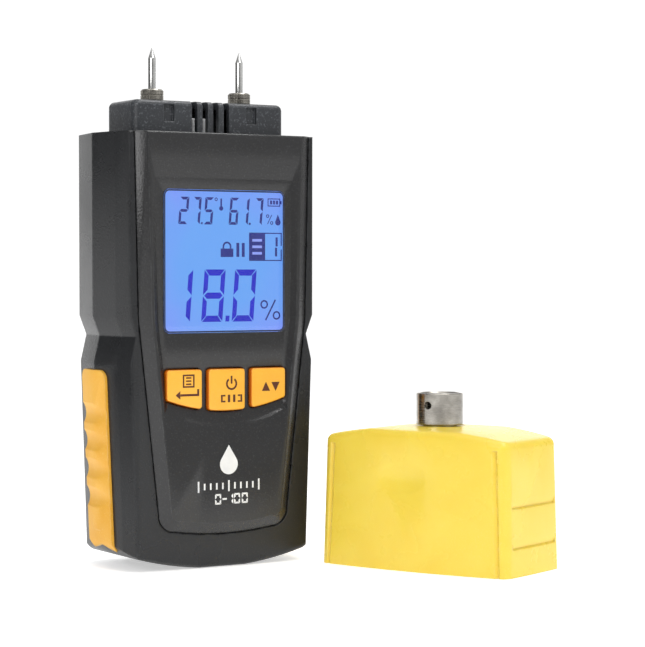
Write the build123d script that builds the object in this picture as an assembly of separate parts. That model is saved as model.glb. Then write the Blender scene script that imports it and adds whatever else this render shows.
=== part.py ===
from build123d import *
import os

# Pin-type moisture meter with its yellow pin cap standing beside it.
# Millimetres, +Z up, the keypad side faces -Y, and +X is to the right of someone facing the keypad.
# The origin is on the table, at the middle of the meter's bottom land.

# ---- driving dimensions of the meter's case ----
SHOULDER_Z = 132.6        # top of the case, where the probe head stands
BACK_Y = 18.15            # flat back of the case
FRONT_Y = -18.15          # raised rim of the front panel
CASE_FRONT_Y = -16.0      # outer front face of the front shell
PART_Y = 1.2              # plane where the front and rear shells meet
WALL = 2.2                # wall of both shells
LAND_HALF = 8.0           # half width of the flat that the meter stands on
ARCH_R = 100.0            # radius of the arched bottom beyond the land
BOTTOM_R = 1.6            # roll of the bottom edges

# Plan outline of the case: (half width, depth) from the front face round to the back face.
UPPER_PLAN = [(31.9, CASE_FRONT_Y), (33.8, -10.0), (36.0, PART_Y), (33.8, 15.6), (30.6, BACK_Y)]
# At each height the outline is moved in by this much, which gives the waist and the tapered handle.
WAIST_LEVELS = [(SHOULDER_Z + 1, 0.0), (77.0, 0.1), (71.0, 2.4), (63.0, 0.5), (9.0, 2.3), (-1.0, 2.6)]

# ---- front panel ----
PANEL_BACK_Y = -15.0      # the panel sits in a pocket 1 mm deep
PANEL_TOP_HALF = 30.2     # half width at the shoulder
PANEL_ELBOW_HALF = 28.8   # half width at the elbow
ELBOW_Z = 76.0
PANEL_LOW_HALF = 22.2     # half width above the bottom corners
PANEL_LOW_Z = 17.0
PANEL_END_Z = 10.4        # lowest point of the panel
PANEL_BEVEL = 3.3         # the rim slopes down to the groove over this width
GROOVE = 0.4              # shadow gap round the panel
RIM = 0.9                 # flat rim between the bevel and the recess
RECESS_Y = -16.85         # floor of the recess round the display and keys
RECESS_TOP_Z = 124.8

# ---- display ----
DISPLAY_Z = 93.6
WINDOW_W, WINDOW_H = 42.0, 43.6
LCD_FRONT_Y = -14.9
BOARD_Y = -9.6            # front face of the main board

# ---- keys ----
KEY_X = [-14.6, 0.0, 14.6]
KEY_HALF = [6.05, 6.35, 6.05]
KEY_TOP_Z = 60.8
KEY_SMILE_R = 60.0        # the keys' lower edges lie on this arc
KEY_SMILE_Z = 48.0
KEY_FRONT_Y = -18.3
KEY_GAP = 0.35

# ---- probe head, needles and collars ----
HEAD_Y = 1.8
HEAD_W, HEAD_D = 52.4, 19.4
HEAD_TOP_Z = 142.8
HEAD_LOW_Z = 126.4
PIN_X = 15.35
NEEDLE_R = 1.2
NEEDLE_FOOT_R = 0.95
NEEDLE_TIP_Z = 159.5
POST_R = 2.3
POST_TOP_Z = 145.2
RUN_FIT = 0.05            # radial clearance of each turning or sliding metal fit
NUT_R = 3.55
NUT_H = 3.7

# ---- battery bay ----
CELL_R, CELL_L = 5.2, 43.5
CELL_Y = 10.0
CELL_Z = 19.2
CELL_PITCH = 11.2
DOOR_HALF = 19.0
DOOR_TOP_Z = 68.0
DOOR_T = 1.8
HINGE_Y, HINGE_Z = 16.0, 12.6
HINGE_R = 1.0

# ---- screws of the case ----
CASE_SCREWS = [(-27.0, 121.5), (27.0, 121.5), (-26.0, 10.5), (26.0, 10.5)]
BOARD_SCREWS = [(-18.0, 122.0), (18.0, 122.0), (-18.0, 20.0), (18.0, 20.0)]

# ---- pin cap ----
CAP_X, CAP_Y, CAP_TURN = 58.25, -47.8, -66.6
CAP_W, CAP_D = 67.1, 32.0
CAP_BULGE = 2.2           # the long sides are this much fuller in the middle
CAP_EDGE_Z = 39.3         # height of the crown at the ends
CAP_CROWN_Z = 43.3
CAP_DRAFT = 0.85
CAP_WALL = 2.2
SLEEVE_R, SLEEVE_BORE_R = 7.2, 5.6
SLEEVE_Z, SLEEVE_TOP_Z = 43.5, 53.3
BARREL_R = 4.15


def mirrored(points):
    """Full closed outline from the points of its right half, listed front to back."""
    return points + [(-x, y) for x, y in reversed(points)]


def plan_face(z, inset, grow):
    """The case's plan outline at one height, moved in by inset and out by grow."""
    half = [(x - inset, y) for x, y in UPPER_PLAN]
    face = make_face(Polyline(*mirrored(half), close=True))
    if grow:
        face = offset(face, amount=grow, kind=Kind.INTERSECTION)
    soft = [v for v in face.vertices() if abs(v.Y - PART_Y) > 2]
    return Pos(0, 0, z) * fillet(soft, 0.9)


def waisted(grow=0.0):
    """The case's body between its parting faces, ruled from one plan outline to the next."""
    return loft([plan_face(z, inset, grow) for z, inset in WAIST_LEVELS], ruled=True)


def arch_z(x):
    return (x * x - LAND_HALF ** 2) / (2 * ARCH_R)


def elevation(inset=0.0):
    """Front outline of the case: arched bottom, rounded bottom corners, and sides left open wide."""
    reach = 33.6 - inset * 0.8
    top, side, bend = SHOULDER_Z + 8, 50.0, reach - 5.0
    arch_end = (bend, arch_z(bend) + inset)
    corner_end = (reach + 0.4, arch_z(reach) + 6.5 + inset)
    right = [
        ThreePointArc((LAND_HALF, inset), (20, arch_z(20) + inset), arch_end),
        ThreePointArc(arch_end, (reach - 1.2, arch_z(reach) + 2.0 + inset), corner_end),
        Line(corner_end, (side, 30)),
        Line((side, 30), (side, top)),
        Line((side, top), (0, top)),
    ]
    land = Line((-LAND_HALF, inset), (LAND_HALF, inset))
    return make_face([land] + right + [mirror(edge, Plane.YZ) for edge in right])


def slab_xz(face, y0, y1):
    """A face drawn in front elevation, made solid between two depths."""
    return extrude(Plane.XZ.offset(-y0) * face, -(y1 - y0))


def shoulder_limit(y0, y1):
    """Side outline that gives the shoulder its height and its soft front and back edges."""
    low = -20.0
    face = Pos((y0 + y1) / 2, (SHOULDER_Z + low) / 2) * Rectangle(y1 - y0, SHOULDER_Z - low)
    face = fillet([v for v in face.vertices() if v.Y > SHOULDER_Z - 1], 0.8)
    return extrude(Plane.YZ * face, 60, both=True)


def bottom_form():
    """Front outline run through the case, its front and back edges rolled in by BOTTOM_R."""
    steps = [(1.0, 0.0), (0.5, 0.134), (0.134, 0.5), (0.0, 1.0)]
    front = [at_depth(elevation(BOTTOM_R * inset), CASE_FRONT_Y - 0.01 + BOTTOM_R * d) for inset, d in steps]
    back = [at_depth(elevation(BOTTOM_R * inset), BACK_Y + 0.01 - BOTTOM_R * d) for inset, d in steps]
    return loft(front, ruled=True) + slab_xz(elevation(), CASE_FRONT_Y - 0.01 + BOTTOM_R,
                                             BACK_Y + 0.01 - BOTTOM_R) + loft(back, ruled=True)


def case_outer():
    return waisted() & bottom_form() & shoulder_limit(CASE_FRONT_Y, BACK_Y)


def case_inner():
    """The hollow inside both shells."""
    floor = slab_xz(Pos(0, WALL + 0.9) * elevation(), -40, 40)
    lid = Pos(0, 0, SHOULDER_Z - WALL - 100) * Box(200, 200, 200)
    front = Pos(0, CASE_FRONT_Y + 2.4 + 50, 60) * Box(200, 100, 400)
    return waisted(-WALL) & floor & lid & front


def front_half(solid):
    return solid & (Pos(0, PART_Y - 100, 60) * Box(300, 200, 400))


def rear_half(solid):
    return solid & (Pos(0, PART_Y + 100, 60) * Box(300, 200, 400))


def panel_outline(inset):
    """Tie-shaped outline of the front panel: nearly straight above the elbow, tapered below it."""
    top_z = SHOULDER_Z + 6
    corner = [(PANEL_LOW_HALF - inset * 0.97, PANEL_LOW_Z), (PANEL_ELBOW_HALF - inset, ELBOW_Z),
              (PANEL_TOP_HALF - inset, top_z)]
    low = PANEL_END_Z + inset
    foot = (PANEL_LOW_HALF - 5.4 - inset * 0.45, low + 1.3)
    right = [
        ThreePointArc((0, low), (foot[0] / 2, low + 0.32), foot),
        ThreePointArc(foot, (foot[0] + (corner[0][0] - foot[0]) * 0.74,
                             foot[1] + (corner[0][1] - foot[1]) * 0.30), corner[0]),
        Line(corner[0], corner[1]),
        Line(corner[1], corner[2]),
        Line(corner[2], (0, top_z)),
    ]
    return make_face(right + [mirror(edge, Plane.YZ) for edge in right])


def half_width(z):
    """Half width of the panel's flat rim at a height."""
    if z > ELBOW_Z:
        span = (z - ELBOW_Z) / (SHOULDER_Z - ELBOW_Z)
        groove = PANEL_ELBOW_HALF + (PANEL_TOP_HALF - PANEL_ELBOW_HALF) * span
    else:
        span = (ELBOW_Z - z) / (ELBOW_Z - PANEL_LOW_Z)
        groove = PANEL_ELBOW_HALF - (PANEL_ELBOW_HALF - PANEL_LOW_HALF) * span
    return groove - PANEL_BEVEL


def recess_outline(side, top_z, low_z, corner_z):
    """Outline of the recess round the display and keys, with its smile-shaped lower edge."""
    top_w = half_width(top_z) - side
    elbow_w = half_width(ELBOW_Z) - side
    low_w = half_width(corner_z) - side
    right = [
        ThreePointArc((0, low_z), (low_w * 0.55, low_z + (corner_z - low_z) * 0.29), (low_w, corner_z)),
        Line((low_w, corner_z), (elbow_w, ELBOW_Z)),
        Line((elbow_w, ELBOW_Z), (top_w, top_z)),
        Line((top_w, top_z), (0, top_z)),
    ]
    return make_face(right + [mirror(edge, Plane.YZ) for edge in right])


def at_depth(face, y):
    """A face drawn in front elevation, put at a depth."""
    return Plane.XZ.offset(-y) * face


def key_outline(index, grow):
    """Outline of one key: straight top and sides, with its lower edge on the common arc."""
    x, half = KEY_X[index], KEY_HALF[index]
    low = KEY_SMILE_Z - 4
    top = KEY_TOP_Z + grow
    block = Pos(x, (top + low) / 2) * Rectangle(2 * (half + grow), top - low)
    arc = Pos(0, KEY_SMILE_Z + KEY_SMILE_R) * Circle(KEY_SMILE_R + grow)
    face = block & arc
    return fillet(face.vertices(), 1.0 + grow)


def screw_row(points, y, radius, length):
    """Plain cylinders along Y at each point, starting at depth y and running towards +Y."""
    turned = Rot(-90, 0, 0) * Cylinder(radius, length, align=(Align.CENTER, Align.CENTER, Align.MIN))
    return [Pos(x, y, z) * turned for x, z in points]


def joined(solids):
    return Part() + solids


def grip_zone(side):
    """Side outline of one grip, as a solid that reaches through the case's side."""
    outline = [(-4.9, 60.6), (-5.9, 8.0), (-6.3, -2.0), (8.4, -2.0), (9.6, 10.0), (11.8, 60.6)]
    face = make_face(Polyline(*outline, close=True))
    face = fillet([v for v in face.vertices() if v.Y > 60], 3.0)
    return Pos(side * 35, 0, 0) * extrude(Plane.YZ * face, 9, both=True)


def grip_pocket(side):
    return (waisted(1.4) - waisted(-0.9)) & grip_zone(side)


def grip(side):
    """Soft grip on one side of the handle, with four finger grooves between five swells."""
    pad = (waisted(0.9) - waisted(-0.9)) & grip_zone(side) & slab_xz(elevation(-0.4), -40, 40)
    for z in [47.0, 38.6, 30.1, 21.4]:
        middle = (side * (41.5 - 0.034 * (60 - z)), PART_Y, z)
        for along in ((side * -0.10, -1, 0), (side * -0.15, 1, 0)):
            pad = pad - Plane(origin=middle, z_dir=along) * Cylinder(
                6.0, 20, align=(Align.CENTER, Align.CENTER, Align.MIN))
    return pad


def front_shell():
    shell = front_half(case_outer() - case_inner())
    for x, z in CASE_SCREWS:
        boss = Pos(x, CASE_FRONT_Y + 1.2, z) * Rot(-90, 0, 0) * Cylinder(
            3.2, PART_Y - CASE_FRONT_Y - 1.3, align=(Align.CENTER, Align.CENTER, Align.MIN))
        shell = shell + (boss & case_outer())
    pillars = screw_row(BOARD_SCREWS, CASE_FRONT_Y + 1.4, 2.6, BOARD_Y - CASE_FRONT_Y - 1.4)
    shell = shell + pillars
    shell = shell - screw_row(CASE_SCREWS, -9.0, 1.3, 20)
    shell = shell - screw_row(BOARD_SCREWS, -13.0, 1.05, 10)
    pocket = slab_xz(offset(panel_outline(0), amount=GROOVE, kind=Kind.INTERSECTION), -30, PANEL_BACK_Y)
    shell = shell - pocket
    shell = shell - (Pos(0, -14, DISPLAY_Z) * Box(43.0, 8, 44.6))
    for index in range(3):
        shell = shell - slab_xz(key_outline(index, KEY_GAP), -20, -10)
    shell = shell - head_opening()
    for side in (-1, 1):
        shell = shell - grip_pocket(side)
    return shell


def rear_shell():
    shell = rear_half(case_outer() - case_inner())
    bosses = screw_row(CASE_SCREWS, PART_Y, 3.8, BACK_Y - PART_Y - 0.6)
    shell = shell + [boss & case_outer() for boss in bosses]
    shell = shell - screw_row(CASE_SCREWS, PART_Y - 1, 1.7, 30)
    shell = shell - screw_row(CASE_SCREWS, 9.0, 2.9, 30)
    door_mid = (DOOR_TOP_Z + HINGE_Z) / 2
    opening = Pos(0, BACK_Y, door_mid - 0.9) * Box(
        2 * DOOR_HALF + 0.8, 8, DOOR_TOP_Z - HINGE_Z + 2 * 2.15 + 0.6 - 1.9)
    shell = shell - opening
    for side in (-1, 1):
        lug = Pos(side * (DOOR_HALF + 1.65), HINGE_Y - 0.6, HINGE_Z) * Box(2.5, 4.2, 5.0)
        shell = shell + lug
    shell = shell - (Pos(0, HINGE_Y, HINGE_Z) * Rot(0, 90, 0) * Cylinder(HINGE_R, 2 * DOOR_HALF + 4.6))
    shell = shell - (Pos(0, BACK_Y, 96.0) * Box(46.4, 0.9, 34.4))
    shell = shell - [Pos(x, BACK_Y, 76.5) * Box(1.6, 9, 3.2) for x in (-4, 0, 4)]
    shell = shell - head_opening()
    for side in (-1, 1):
        shell = shell - grip_pocket(side)
    return shell


def front_panel():
    """Raised tie-shaped panel with the recess round the display and keys."""
    base = slab_xz(panel_outline(0), PANEL_BACK_Y - 1.0, PANEL_BACK_Y)
    slope = loft([at_depth(panel_outline(0), PANEL_BACK_Y - 1.0),
                  at_depth(panel_outline(PANEL_BEVEL), FRONT_Y)], ruled=True)
    panel = base + slope
    panel = panel & shoulder_limit(FRONT_Y - 0.01, BACK_Y)
    recess = loft([at_depth(recess_outline(RIM, RECESS_TOP_Z, 42.4, 47.4), FRONT_Y - 0.01),
                   at_depth(recess_outline(RIM + 1.8, RECESS_TOP_Z - 6.0, 44.8, 49.4), RECESS_Y)],
                  ruled=True)
    panel = panel - recess
    glass = Pos(0, DISPLAY_Z) * RectangleRounded(WINDOW_W, WINDOW_H, 2.0)
    panel = panel - slab_xz(glass, -20, -10)
    seat = Pos(0, DISPLAY_Z) * RectangleRounded(WINDOW_W + 2.8, WINDOW_H + 2.8, 2.4)
    panel = panel - slab_xz(seat, PANEL_BACK_Y - 0.65, PANEL_BACK_Y)
    for index in range(3):
        panel = panel - slab_xz(key_outline(index, KEY_GAP), -20, -10)
    return panel


def display_window():
    """Clear moulded lens: a raised face that fills the panel's opening and a thin flange behind."""
    face = Pos(0, DISPLAY_Z) * RectangleRounded(WINDOW_W - 0.2, WINDOW_H - 0.2, 1.9)
    flange = Pos(0, DISPLAY_Z) * RectangleRounded(WINDOW_W + 2.6, WINDOW_H + 2.6, 2.3)
    lens = slab_xz(face, RECESS_Y - 0.05, PANEL_BACK_Y)
    return lens + slab_xz(flange, PANEL_BACK_Y - 0.6, PANEL_BACK_Y)


def lcd_glass():
    return Pos(0, LCD_FRONT_Y + 0.85, DISPLAY_Z) * Box(42.6, 1.7, 44.2)


def lcd_backlight():
    return Pos(0, LCD_FRONT_Y + 1.7 + 1.1, DISPLAY_Z) * Box(42.0, 2.2, 38.6)


def lcd_frame():
    """Frame that clips the display stack to the main board."""
    depth = BOARD_Y + 13.5
    ring = Box(48.0, depth, 49.6) - Box(43.2, depth + 2, 44.8)
    feet = [Pos(sx * 23.2, 0, sz * 24.2) * Box(2.8, depth, 3.0) for sx in (-1, 1) for sz in (-1, 1)]
    return Pos(0, (BOARD_Y - 13.5) / 2, DISPLAY_Z) * (ring + feet)


def contact_strips():
    """The two rubber strips that join the glass to the board, above and below the backlight."""
    depth = BOARD_Y - (LCD_FRONT_Y + 1.7)
    strip = Box(40.0, depth, 2.0)
    y = (BOARD_Y + LCD_FRONT_Y + 1.7) / 2
    return [Pos(0, y, DISPLAY_Z + side * 20.9) * strip for side in (-1, 1)]


def main_board():
    board = Pos(0, BOARD_Y + 0.8, 70.0) * Box(44.0, 1.6, 111.0)
    return board - screw_row(BOARD_SCREWS, BOARD_Y - 1, 1.05, 5)


def board_screws():
    heads = screw_row(BOARD_SCREWS, BOARD_Y + 1.6, 2.1, 1.4)
    shanks = screw_row(BOARD_SCREWS, -12.9, 1.0, BOARD_Y + 1.6 + 12.9)
    return [head + shank for head, shank in zip(heads, shanks)]


def board_chips():
    back = BOARD_Y + 1.6
    chips = [(0, 96, 12, 12, 1.6), (-13, 84, 7, 5, 1.4), (13, 80, 6, 5, 1.4), (12, 112, 9, 4, 3.2)]
    return [Pos(x, back + t / 2, z) * Box(w, t, h) for x, z, w, h, t in chips]


def buzzer():
    body = Cylinder(6.0, 4.0, align=(Align.CENTER, Align.CENTER, Align.MIN))
    body = body - Pos(0, 0, 3.2) * Cylinder(1.0, 2.0)
    return Pos(-12, BOARD_Y + 1.6, 108) * Rot(-90, 0, 0) * body


def keypad_mat():
    sheet = Pos(0, BOARD_Y - 0.4, 55.0) * Box(42.0, 0.8, 15.5)
    domes = [Pos(x, BOARD_Y - 0.8, 55.0) * Rot(90, 0, 0) * Cone(
        4.2, 2.6, 1.3, align=(Align.CENTER, Align.CENTER, Align.MIN)) for x in KEY_X]
    return sheet + domes


def key(index):
    """One key: a proud cap and a wider flange behind the front shell, above its dome."""
    cap = slab_xz(key_outline(index, 0), KEY_FRONT_Y, -13.4)
    rim = [edge for edge in cap.edges() if abs(edge.center().Y - KEY_FRONT_Y) < 0.01]
    cap = chamfer(rim, 0.35)
    return cap + slab_xz(key_outline(index, 0.9), -13.4, -12.6)


def head_plan(shrink):
    """Plan outline of the probe head: small front corners, fuller rear corners."""
    face = Pos(0, HEAD_Y) * Rectangle(HEAD_W - 2 * shrink, HEAD_D - 2 * shrink)
    front = [v for v in face.vertices() if v.Y < HEAD_Y]
    face = fillet(front, max(2.4 - shrink, 0.6))
    rear = [v for v in face.vertices() if v.Y > HEAD_Y + HEAD_D / 2 - shrink - 0.1]
    return fillet(rear, max(2.2 - shrink, 0.6))


def head_opening():
    """Hole in the shoulder that the head passes through."""
    return Pos(0, 0, SHOULDER_Z - 5) * extrude(head_plan(-0.1), 12)


def probe_head():
    """Moulded head with two latch windows each side, four air slots, and a flange inside the case."""
    block = Pos(0, 0, HEAD_LOW_Z) * extrude(head_plan(0), HEAD_TOP_Z - HEAD_LOW_Z)
    block = fillet([e for e in block.edges() if e.center().Z > HEAD_TOP_Z - 0.01], 1.9)
    flange = Pos(0, 0, SHOULDER_Z - WALL - 1.7) * extrude(head_plan(-1.2), 1.6)
    hollow = Pos(0, 0, HEAD_LOW_Z - 1) * extrude(head_plan(2.0), HEAD_TOP_Z - WALL - HEAD_LOW_Z + 1)
    head = block + flange - hollow
    front_y = HEAD_Y - HEAD_D / 2
    for x in (-14.4, 14.4):
        for side in (-1, 1):
            window = Pos(x, HEAD_Y + side * HEAD_D / 2, 138.9) * Box(3.7, 2.4, 5.2)
            head = head - window
    for slot in range(4):
        x = (slot - 1.5) * 3.7
        head = head - (Pos(x, front_y + 1.5, 138.5) * Box(1.95, 9.0, 11.0))
    for side in (-1, 1):
        bore = Pos(side * PIN_X, HEAD_Y, HEAD_TOP_Z) * Cylinder(POST_R + 0.05, 10)
        head = head - bore
    return head


def sensor_board():
    return Pos(0, 1.5, 131.0) * Box(20.0, 1.2, 15.0)


def humidity_sensor():
    """White filter cap of the air sensor, behind the left slots of the head."""
    body = Pos(-0.4, -0.6, 134.4) * Box(6.6, 3.0, 7.2)
    return fillet([e for e in body.edges() if abs(e.center().Y + 2.1) < 0.01], 0.5)


def pin_post(side):
    """Threaded brass post that holds one needle, seated under the head's top wall."""
    stud = Pos(0, 0, 131.0) * Cylinder(POST_R, POST_TOP_Z - 131.0,
                                       align=(Align.CENTER, Align.CENTER, Align.MIN))
    under = HEAD_TOP_Z - WALL
    flange = Pos(0, 0, under - 2.4) * Cylinder(3.6, 2.4, align=(Align.CENTER, Align.CENTER, Align.MIN))
    bore = Pos(0, 0, 132.0) * Cylinder(NEEDLE_FOOT_R + RUN_FIT, 20, align=(Align.CENTER, Align.CENTER, Align.MIN))
    return Pos(side * PIN_X, HEAD_Y, 0) * (stud + flange - bore)


def pin_tab(side):
    """Brass strip from a post down to the main board."""
    low, high, board_back = 124.8, 131.0, BOARD_Y + 1.6
    fall = Pos(side * PIN_X, HEAD_Y, (low + high) / 2) * Box(3.0, 0.6, high - low)
    span = HEAD_Y + 0.3 - board_back
    reach = Pos(side * PIN_X, board_back + span / 2, low) * Box(3.0, span, 0.6)
    return fall + reach


def needle(side):
    """Sharp steel needle, free to be drawn out of its post, thinner below the top of the nut."""
    tip, step = 3.2, 146.7
    shank = Pos(0, 0, step) * Cylinder(NEEDLE_R, NEEDLE_TIP_Z - tip - step,
                                       align=(Align.CENTER, Align.CENTER, Align.MIN))
    shank += Pos(0, 0, 132.1) * Cylinder(NEEDLE_FOOT_R, step - 132.1,
                                         align=(Align.CENTER, Align.CENTER, Align.MIN))
    point = Pos(0, 0, NEEDLE_TIP_Z - tip) * Cone(NEEDLE_R, 0.12, tip,
                                                 align=(Align.CENTER, Align.CENTER, Align.MIN))
    return Pos(side * PIN_X, HEAD_Y, 0) * (shank + point)


def pin_nut(side):
    """Collar nut over one post: its top ring leaves room for the needle."""
    low = HEAD_TOP_Z + 0.1
    outer = Pos(0, 0, low) * Cylinder(NUT_R, NUT_H, align=(Align.CENTER, Align.CENTER, Align.MIN))
    outer = chamfer(outer.edges().filter_by(GeomType.CIRCLE), 0.3)
    thread = Pos(0, 0, low) * Cylinder(POST_R + RUN_FIT, POST_TOP_Z + 0.1 - low,
                                       align=(Align.CENTER, Align.CENTER, Align.MIN))
    mouth = Pos(0, 0, low) * Cylinder(NEEDLE_R + 0.6, 10, align=(Align.CENTER, Align.CENTER, Align.MIN))
    return Pos(side * PIN_X, HEAD_Y, 0) * (outer - thread - mouth)


def battery_tray():
    """Open tray for three slim cells, with low ribs between them."""
    tray = Pos(0, 9.7, 41.0) * Box(37.6, 12.6, 51.4)
    tray = tray - Pos(0, 10.7, 41.0) * Box(35.0, 12.6, 48.8)
    ribs = [Pos(x, 4.4, 41.0) * Box(0.6, 1.6, 44.0) for x in (-CELL_PITCH / 2, CELL_PITCH / 2)]
    return tray + ribs


def cell(index):
    """One slim cell with its raised end; the middle cell stands the other way up."""
    body = Cylinder(CELL_R, CELL_L, align=(Align.CENTER, Align.CENTER, Align.MIN))
    body = fillet(body.edges().filter_by(GeomType.CIRCLE), 0.4)
    body = body + Pos(0, 0, CELL_L) * Cylinder(1.9, 1.0, align=(Align.CENTER, Align.CENTER, Align.MIN))
    x = (index - 1) * CELL_PITCH
    if index == 1:
        return Pos(x, CELL_Y, CELL_Z + CELL_L + 0.1) * Rot(180, 0, 0) * body
    return Pos(x, CELL_Y, CELL_Z) * body


def battery_plates():
    """Nickel plates on the two end walls of the tray."""
    plates = []
    for index in range(3):
        x = (index - 1) * CELL_PITCH
        plates.append(Pos(x, 9.6, 16.8) * Box(9.0, 9.0, 0.4))
        plates.append(Pos(x, 9.6, 65.2) * Box(9.0, 9.0, 0.4))
        bump_z = 17.6 if index == 1 else 64.4
        plates.append(Pos(x, CELL_Y, bump_z) * Cylinder(1.5, 1.2))
    return plates


def battery_springs():
    """A short coil at the flat end of each cell, drawn as stacked rings."""
    springs = []
    for index in range(3):
        x = (index - 1) * CELL_PITCH
        base, step = (65.0, -1) if index == 1 else (17.0, 1)
        coil = [Pos(x, CELL_Y, base + step * (0.35 + 0.62 * turn)) * Torus(3.6 - 0.5 * turn, 0.35)
                for turn in range(3)]
        post = Pos(x, CELL_Y, base + step * 0.6) * (Cylinder(3.7, 1.2) - Cylinder(2.9, 2))
        springs.append(joined(coil + [post]))
    return springs


def battery_door():
    """Door of the battery bay, with a hinge barrel along its lower edge and finger ribs."""
    barrel_r = BACK_Y - HINGE_Y
    plate_z = (DOOR_TOP_Z + HINGE_Z) / 2
    plate = Pos(0, BACK_Y - DOOR_T / 2, plate_z) * Box(2 * DOOR_HALF, DOOR_T, DOOR_TOP_Z - HINGE_Z)
    plate = fillet([e for e in plate.edges().filter_by(Axis.Y) if e.center().Z > DOOR_TOP_Z - 1], 1.6)
    barrel = Pos(0, HINGE_Y, HINGE_Z) * Rot(0, 90, 0) * Cylinder(barrel_r, 2 * DOOR_HALF)
    door = plate + barrel
    door = door - Pos(0, HINGE_Y, HINGE_Z) * Rot(0, 90, 0) * Cylinder(HINGE_R + RUN_FIT, 2 * DOOR_HALF + 2)
    ribs = [Pos(0, BACK_Y + 0.1, 57.0 + 2.2 * n) * Box(14.0, 0.8, 0.9) for n in range(3)]
    notch = Pos(0, BACK_Y + 0.6, DOOR_TOP_Z) * Rot(0, 90, 0) * Cylinder(1.5, 12.0)
    return door + ribs - notch


def door_hinge_pin():
    return Pos(0, HINGE_Y, HINGE_Z) * Rot(0, 90, 0) * Cylinder(HINGE_R, 2 * DOOR_HALF + 4.4)


def rear_label():
    return Pos(0, BACK_Y - 0.3, 96.0) * Box(46.0, 0.3, 34.0)


def case_screws():
    heads = screw_row(CASE_SCREWS, 9.0, 2.6, 2.2)
    shanks = screw_row(CASE_SCREWS, -7.6, 1.25, 16.8)
    cross = screw_row(CASE_SCREWS, 10.2, 0.9, 2)
    return [head + shank - hole for head, shank, hole in zip(heads, shanks, cross)]


def cap_plan(shrink):
    """Plan outline of the pin cap: gently bowed long sides and round corners."""
    w, d = CAP_W / 2 - shrink, CAP_D / 2 - shrink
    lines = [
        ThreePointArc((-w, -d), (0, -d - CAP_BULGE), (w, -d)),
        ThreePointArc((w, -d), (w + 0.3, 0), (w, d)),
        ThreePointArc((w, d), (0, d + CAP_BULGE), (-w, d)),
        ThreePointArc((-w, d), (-w - 0.3, 0), (-w, -d)),
    ]
    face = make_face(lines)
    return fillet(face.vertices(), 3.4)


def cap_crown(drop):
    """Prism whose upper face is the crown: it limits the cap's height."""
    edge, top = CAP_EDGE_Z - drop, CAP_CROWN_Z - drop
    across = make_face([Line((-40, -1), (40, -1)), Line((40, -1), (40, edge - 1.2)),
                        ThreePointArc((40, edge - 1.2), (0, top), (-40, edge - 1.2)),
                        Line((-40, edge - 1.2), (-40, -1))])
    along = make_face([Line((-20, -1), (20, -1)), Line((20, -1), (20, top - 1.6)),
                       ThreePointArc((20, top - 1.6), (0, top + 0.2), (-20, top - 1.6)),
                       Line((-20, top - 1.6), (-20, -1))])
    return slab_xz(across, -40, 40) & extrude(Plane.YZ * along, 60, both=True)


def cap_block():
    """Outer form of the cap, before it is hollowed."""
    height = 46.0
    taper = CAP_DRAFT * height / CAP_EDGE_Z
    body = loft([cap_plan(0), Pos(0, 0, height) * cap_plan(taper)], ruled=True)
    body = body & cap_crown(0)
    brow = [e for e in body.edges() if e.bounding_box().min.Z > 30]
    body = fillet(brow, 2.4)
    dimple = Pos(-3.0, -CAP_D / 2 - CAP_BULGE - 15.4, 28.5) * scale(Sphere(17.0), (1.7, 1.0, 1.0))
    body = body - dimple
    for side in (-1, 1):
        for face_y in (-1, 1):
            crease = Pos(side * 29.8, face_y * (CAP_D / 2 + 0.25), 18) * Rot(face_y * 1.2, side * -2.2, 0) * (
                Rot(0, 0, 45) * Box(1.5, 1.5, 39))
            body = body - crease
        for z in (20.5, 8.5):
            end = CAP_W / 2 + 0.9 - CAP_DRAFT * z / CAP_EDGE_Z
            tooth = make_face(Polyline((end, z + 3.6), (end - 1.35, z), (end, z - 0.7), close=True))
            step = slab_xz(tooth, -12.6, 12.6)
            body = body - (step if side > 0 else mirror(step, Plane.YZ))
    return body


def cap_shell():
    """The cap's moulding: open below, with ribs that grip the head and nubs for its windows."""
    top = CAP_EDGE_Z + 2
    hollow = loft([Pos(0, 0, -1) * cap_plan(CAP_WALL),
                   Pos(0, 0, top) * cap_plan(CAP_WALL + CAP_DRAFT)], ruled=True) & cap_crown(2.3)
    shell = cap_block() - hollow
    skin = cap_block()
    grip_y, grip_x = HEAD_D / 2 + 0.25, HEAD_W / 2 + 0.25
    for x in (-21.0, -14.4, 14.4, 21.0):
        for side in (-1, 1):
            rib_d = CAP_D / 2 - grip_y
            rib = Pos(x, side * (grip_y + rib_d / 2), 6.0) * Box(1.4, rib_d, 11.0)
            shell = shell + (rib & skin)
    for side in (-1, 1):
        for y in (-4.0, 4.0):
            rib_w = CAP_W / 2 - grip_x
            rib = Pos(side * (grip_x + rib_w / 2), y, 6.0) * Box(rib_w, 1.4, 11.0)
            shell = shell + (rib & skin)
    for x in (-14.4, 14.4):
        for side in (-1, 1):
            shell = shell + Pos(x, side * (grip_y - 0.1), 6.3) * Box(1.4, 1.2, 2.6)
    for side in (-1, 1):
        pillar = Pos(side * 23.0, 0, 37.5) * Cylinder(2.6, 7.0)
        shell = shell + (pillar & skin)
        shell = shell - Pos(side * 23.0, 0, 36.0) * Cylinder(1.05, 5.0)
    shell = shell - Pos(0, 0, CAP_CROWN_Z) * Cylinder(4.85, 12)
    seat = Pos(0, 0, SLEEVE_Z - 0.45) * Cylinder(7.7, 6, align=(Align.CENTER, Align.CENTER, Align.MIN))
    return shell - seat


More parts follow.
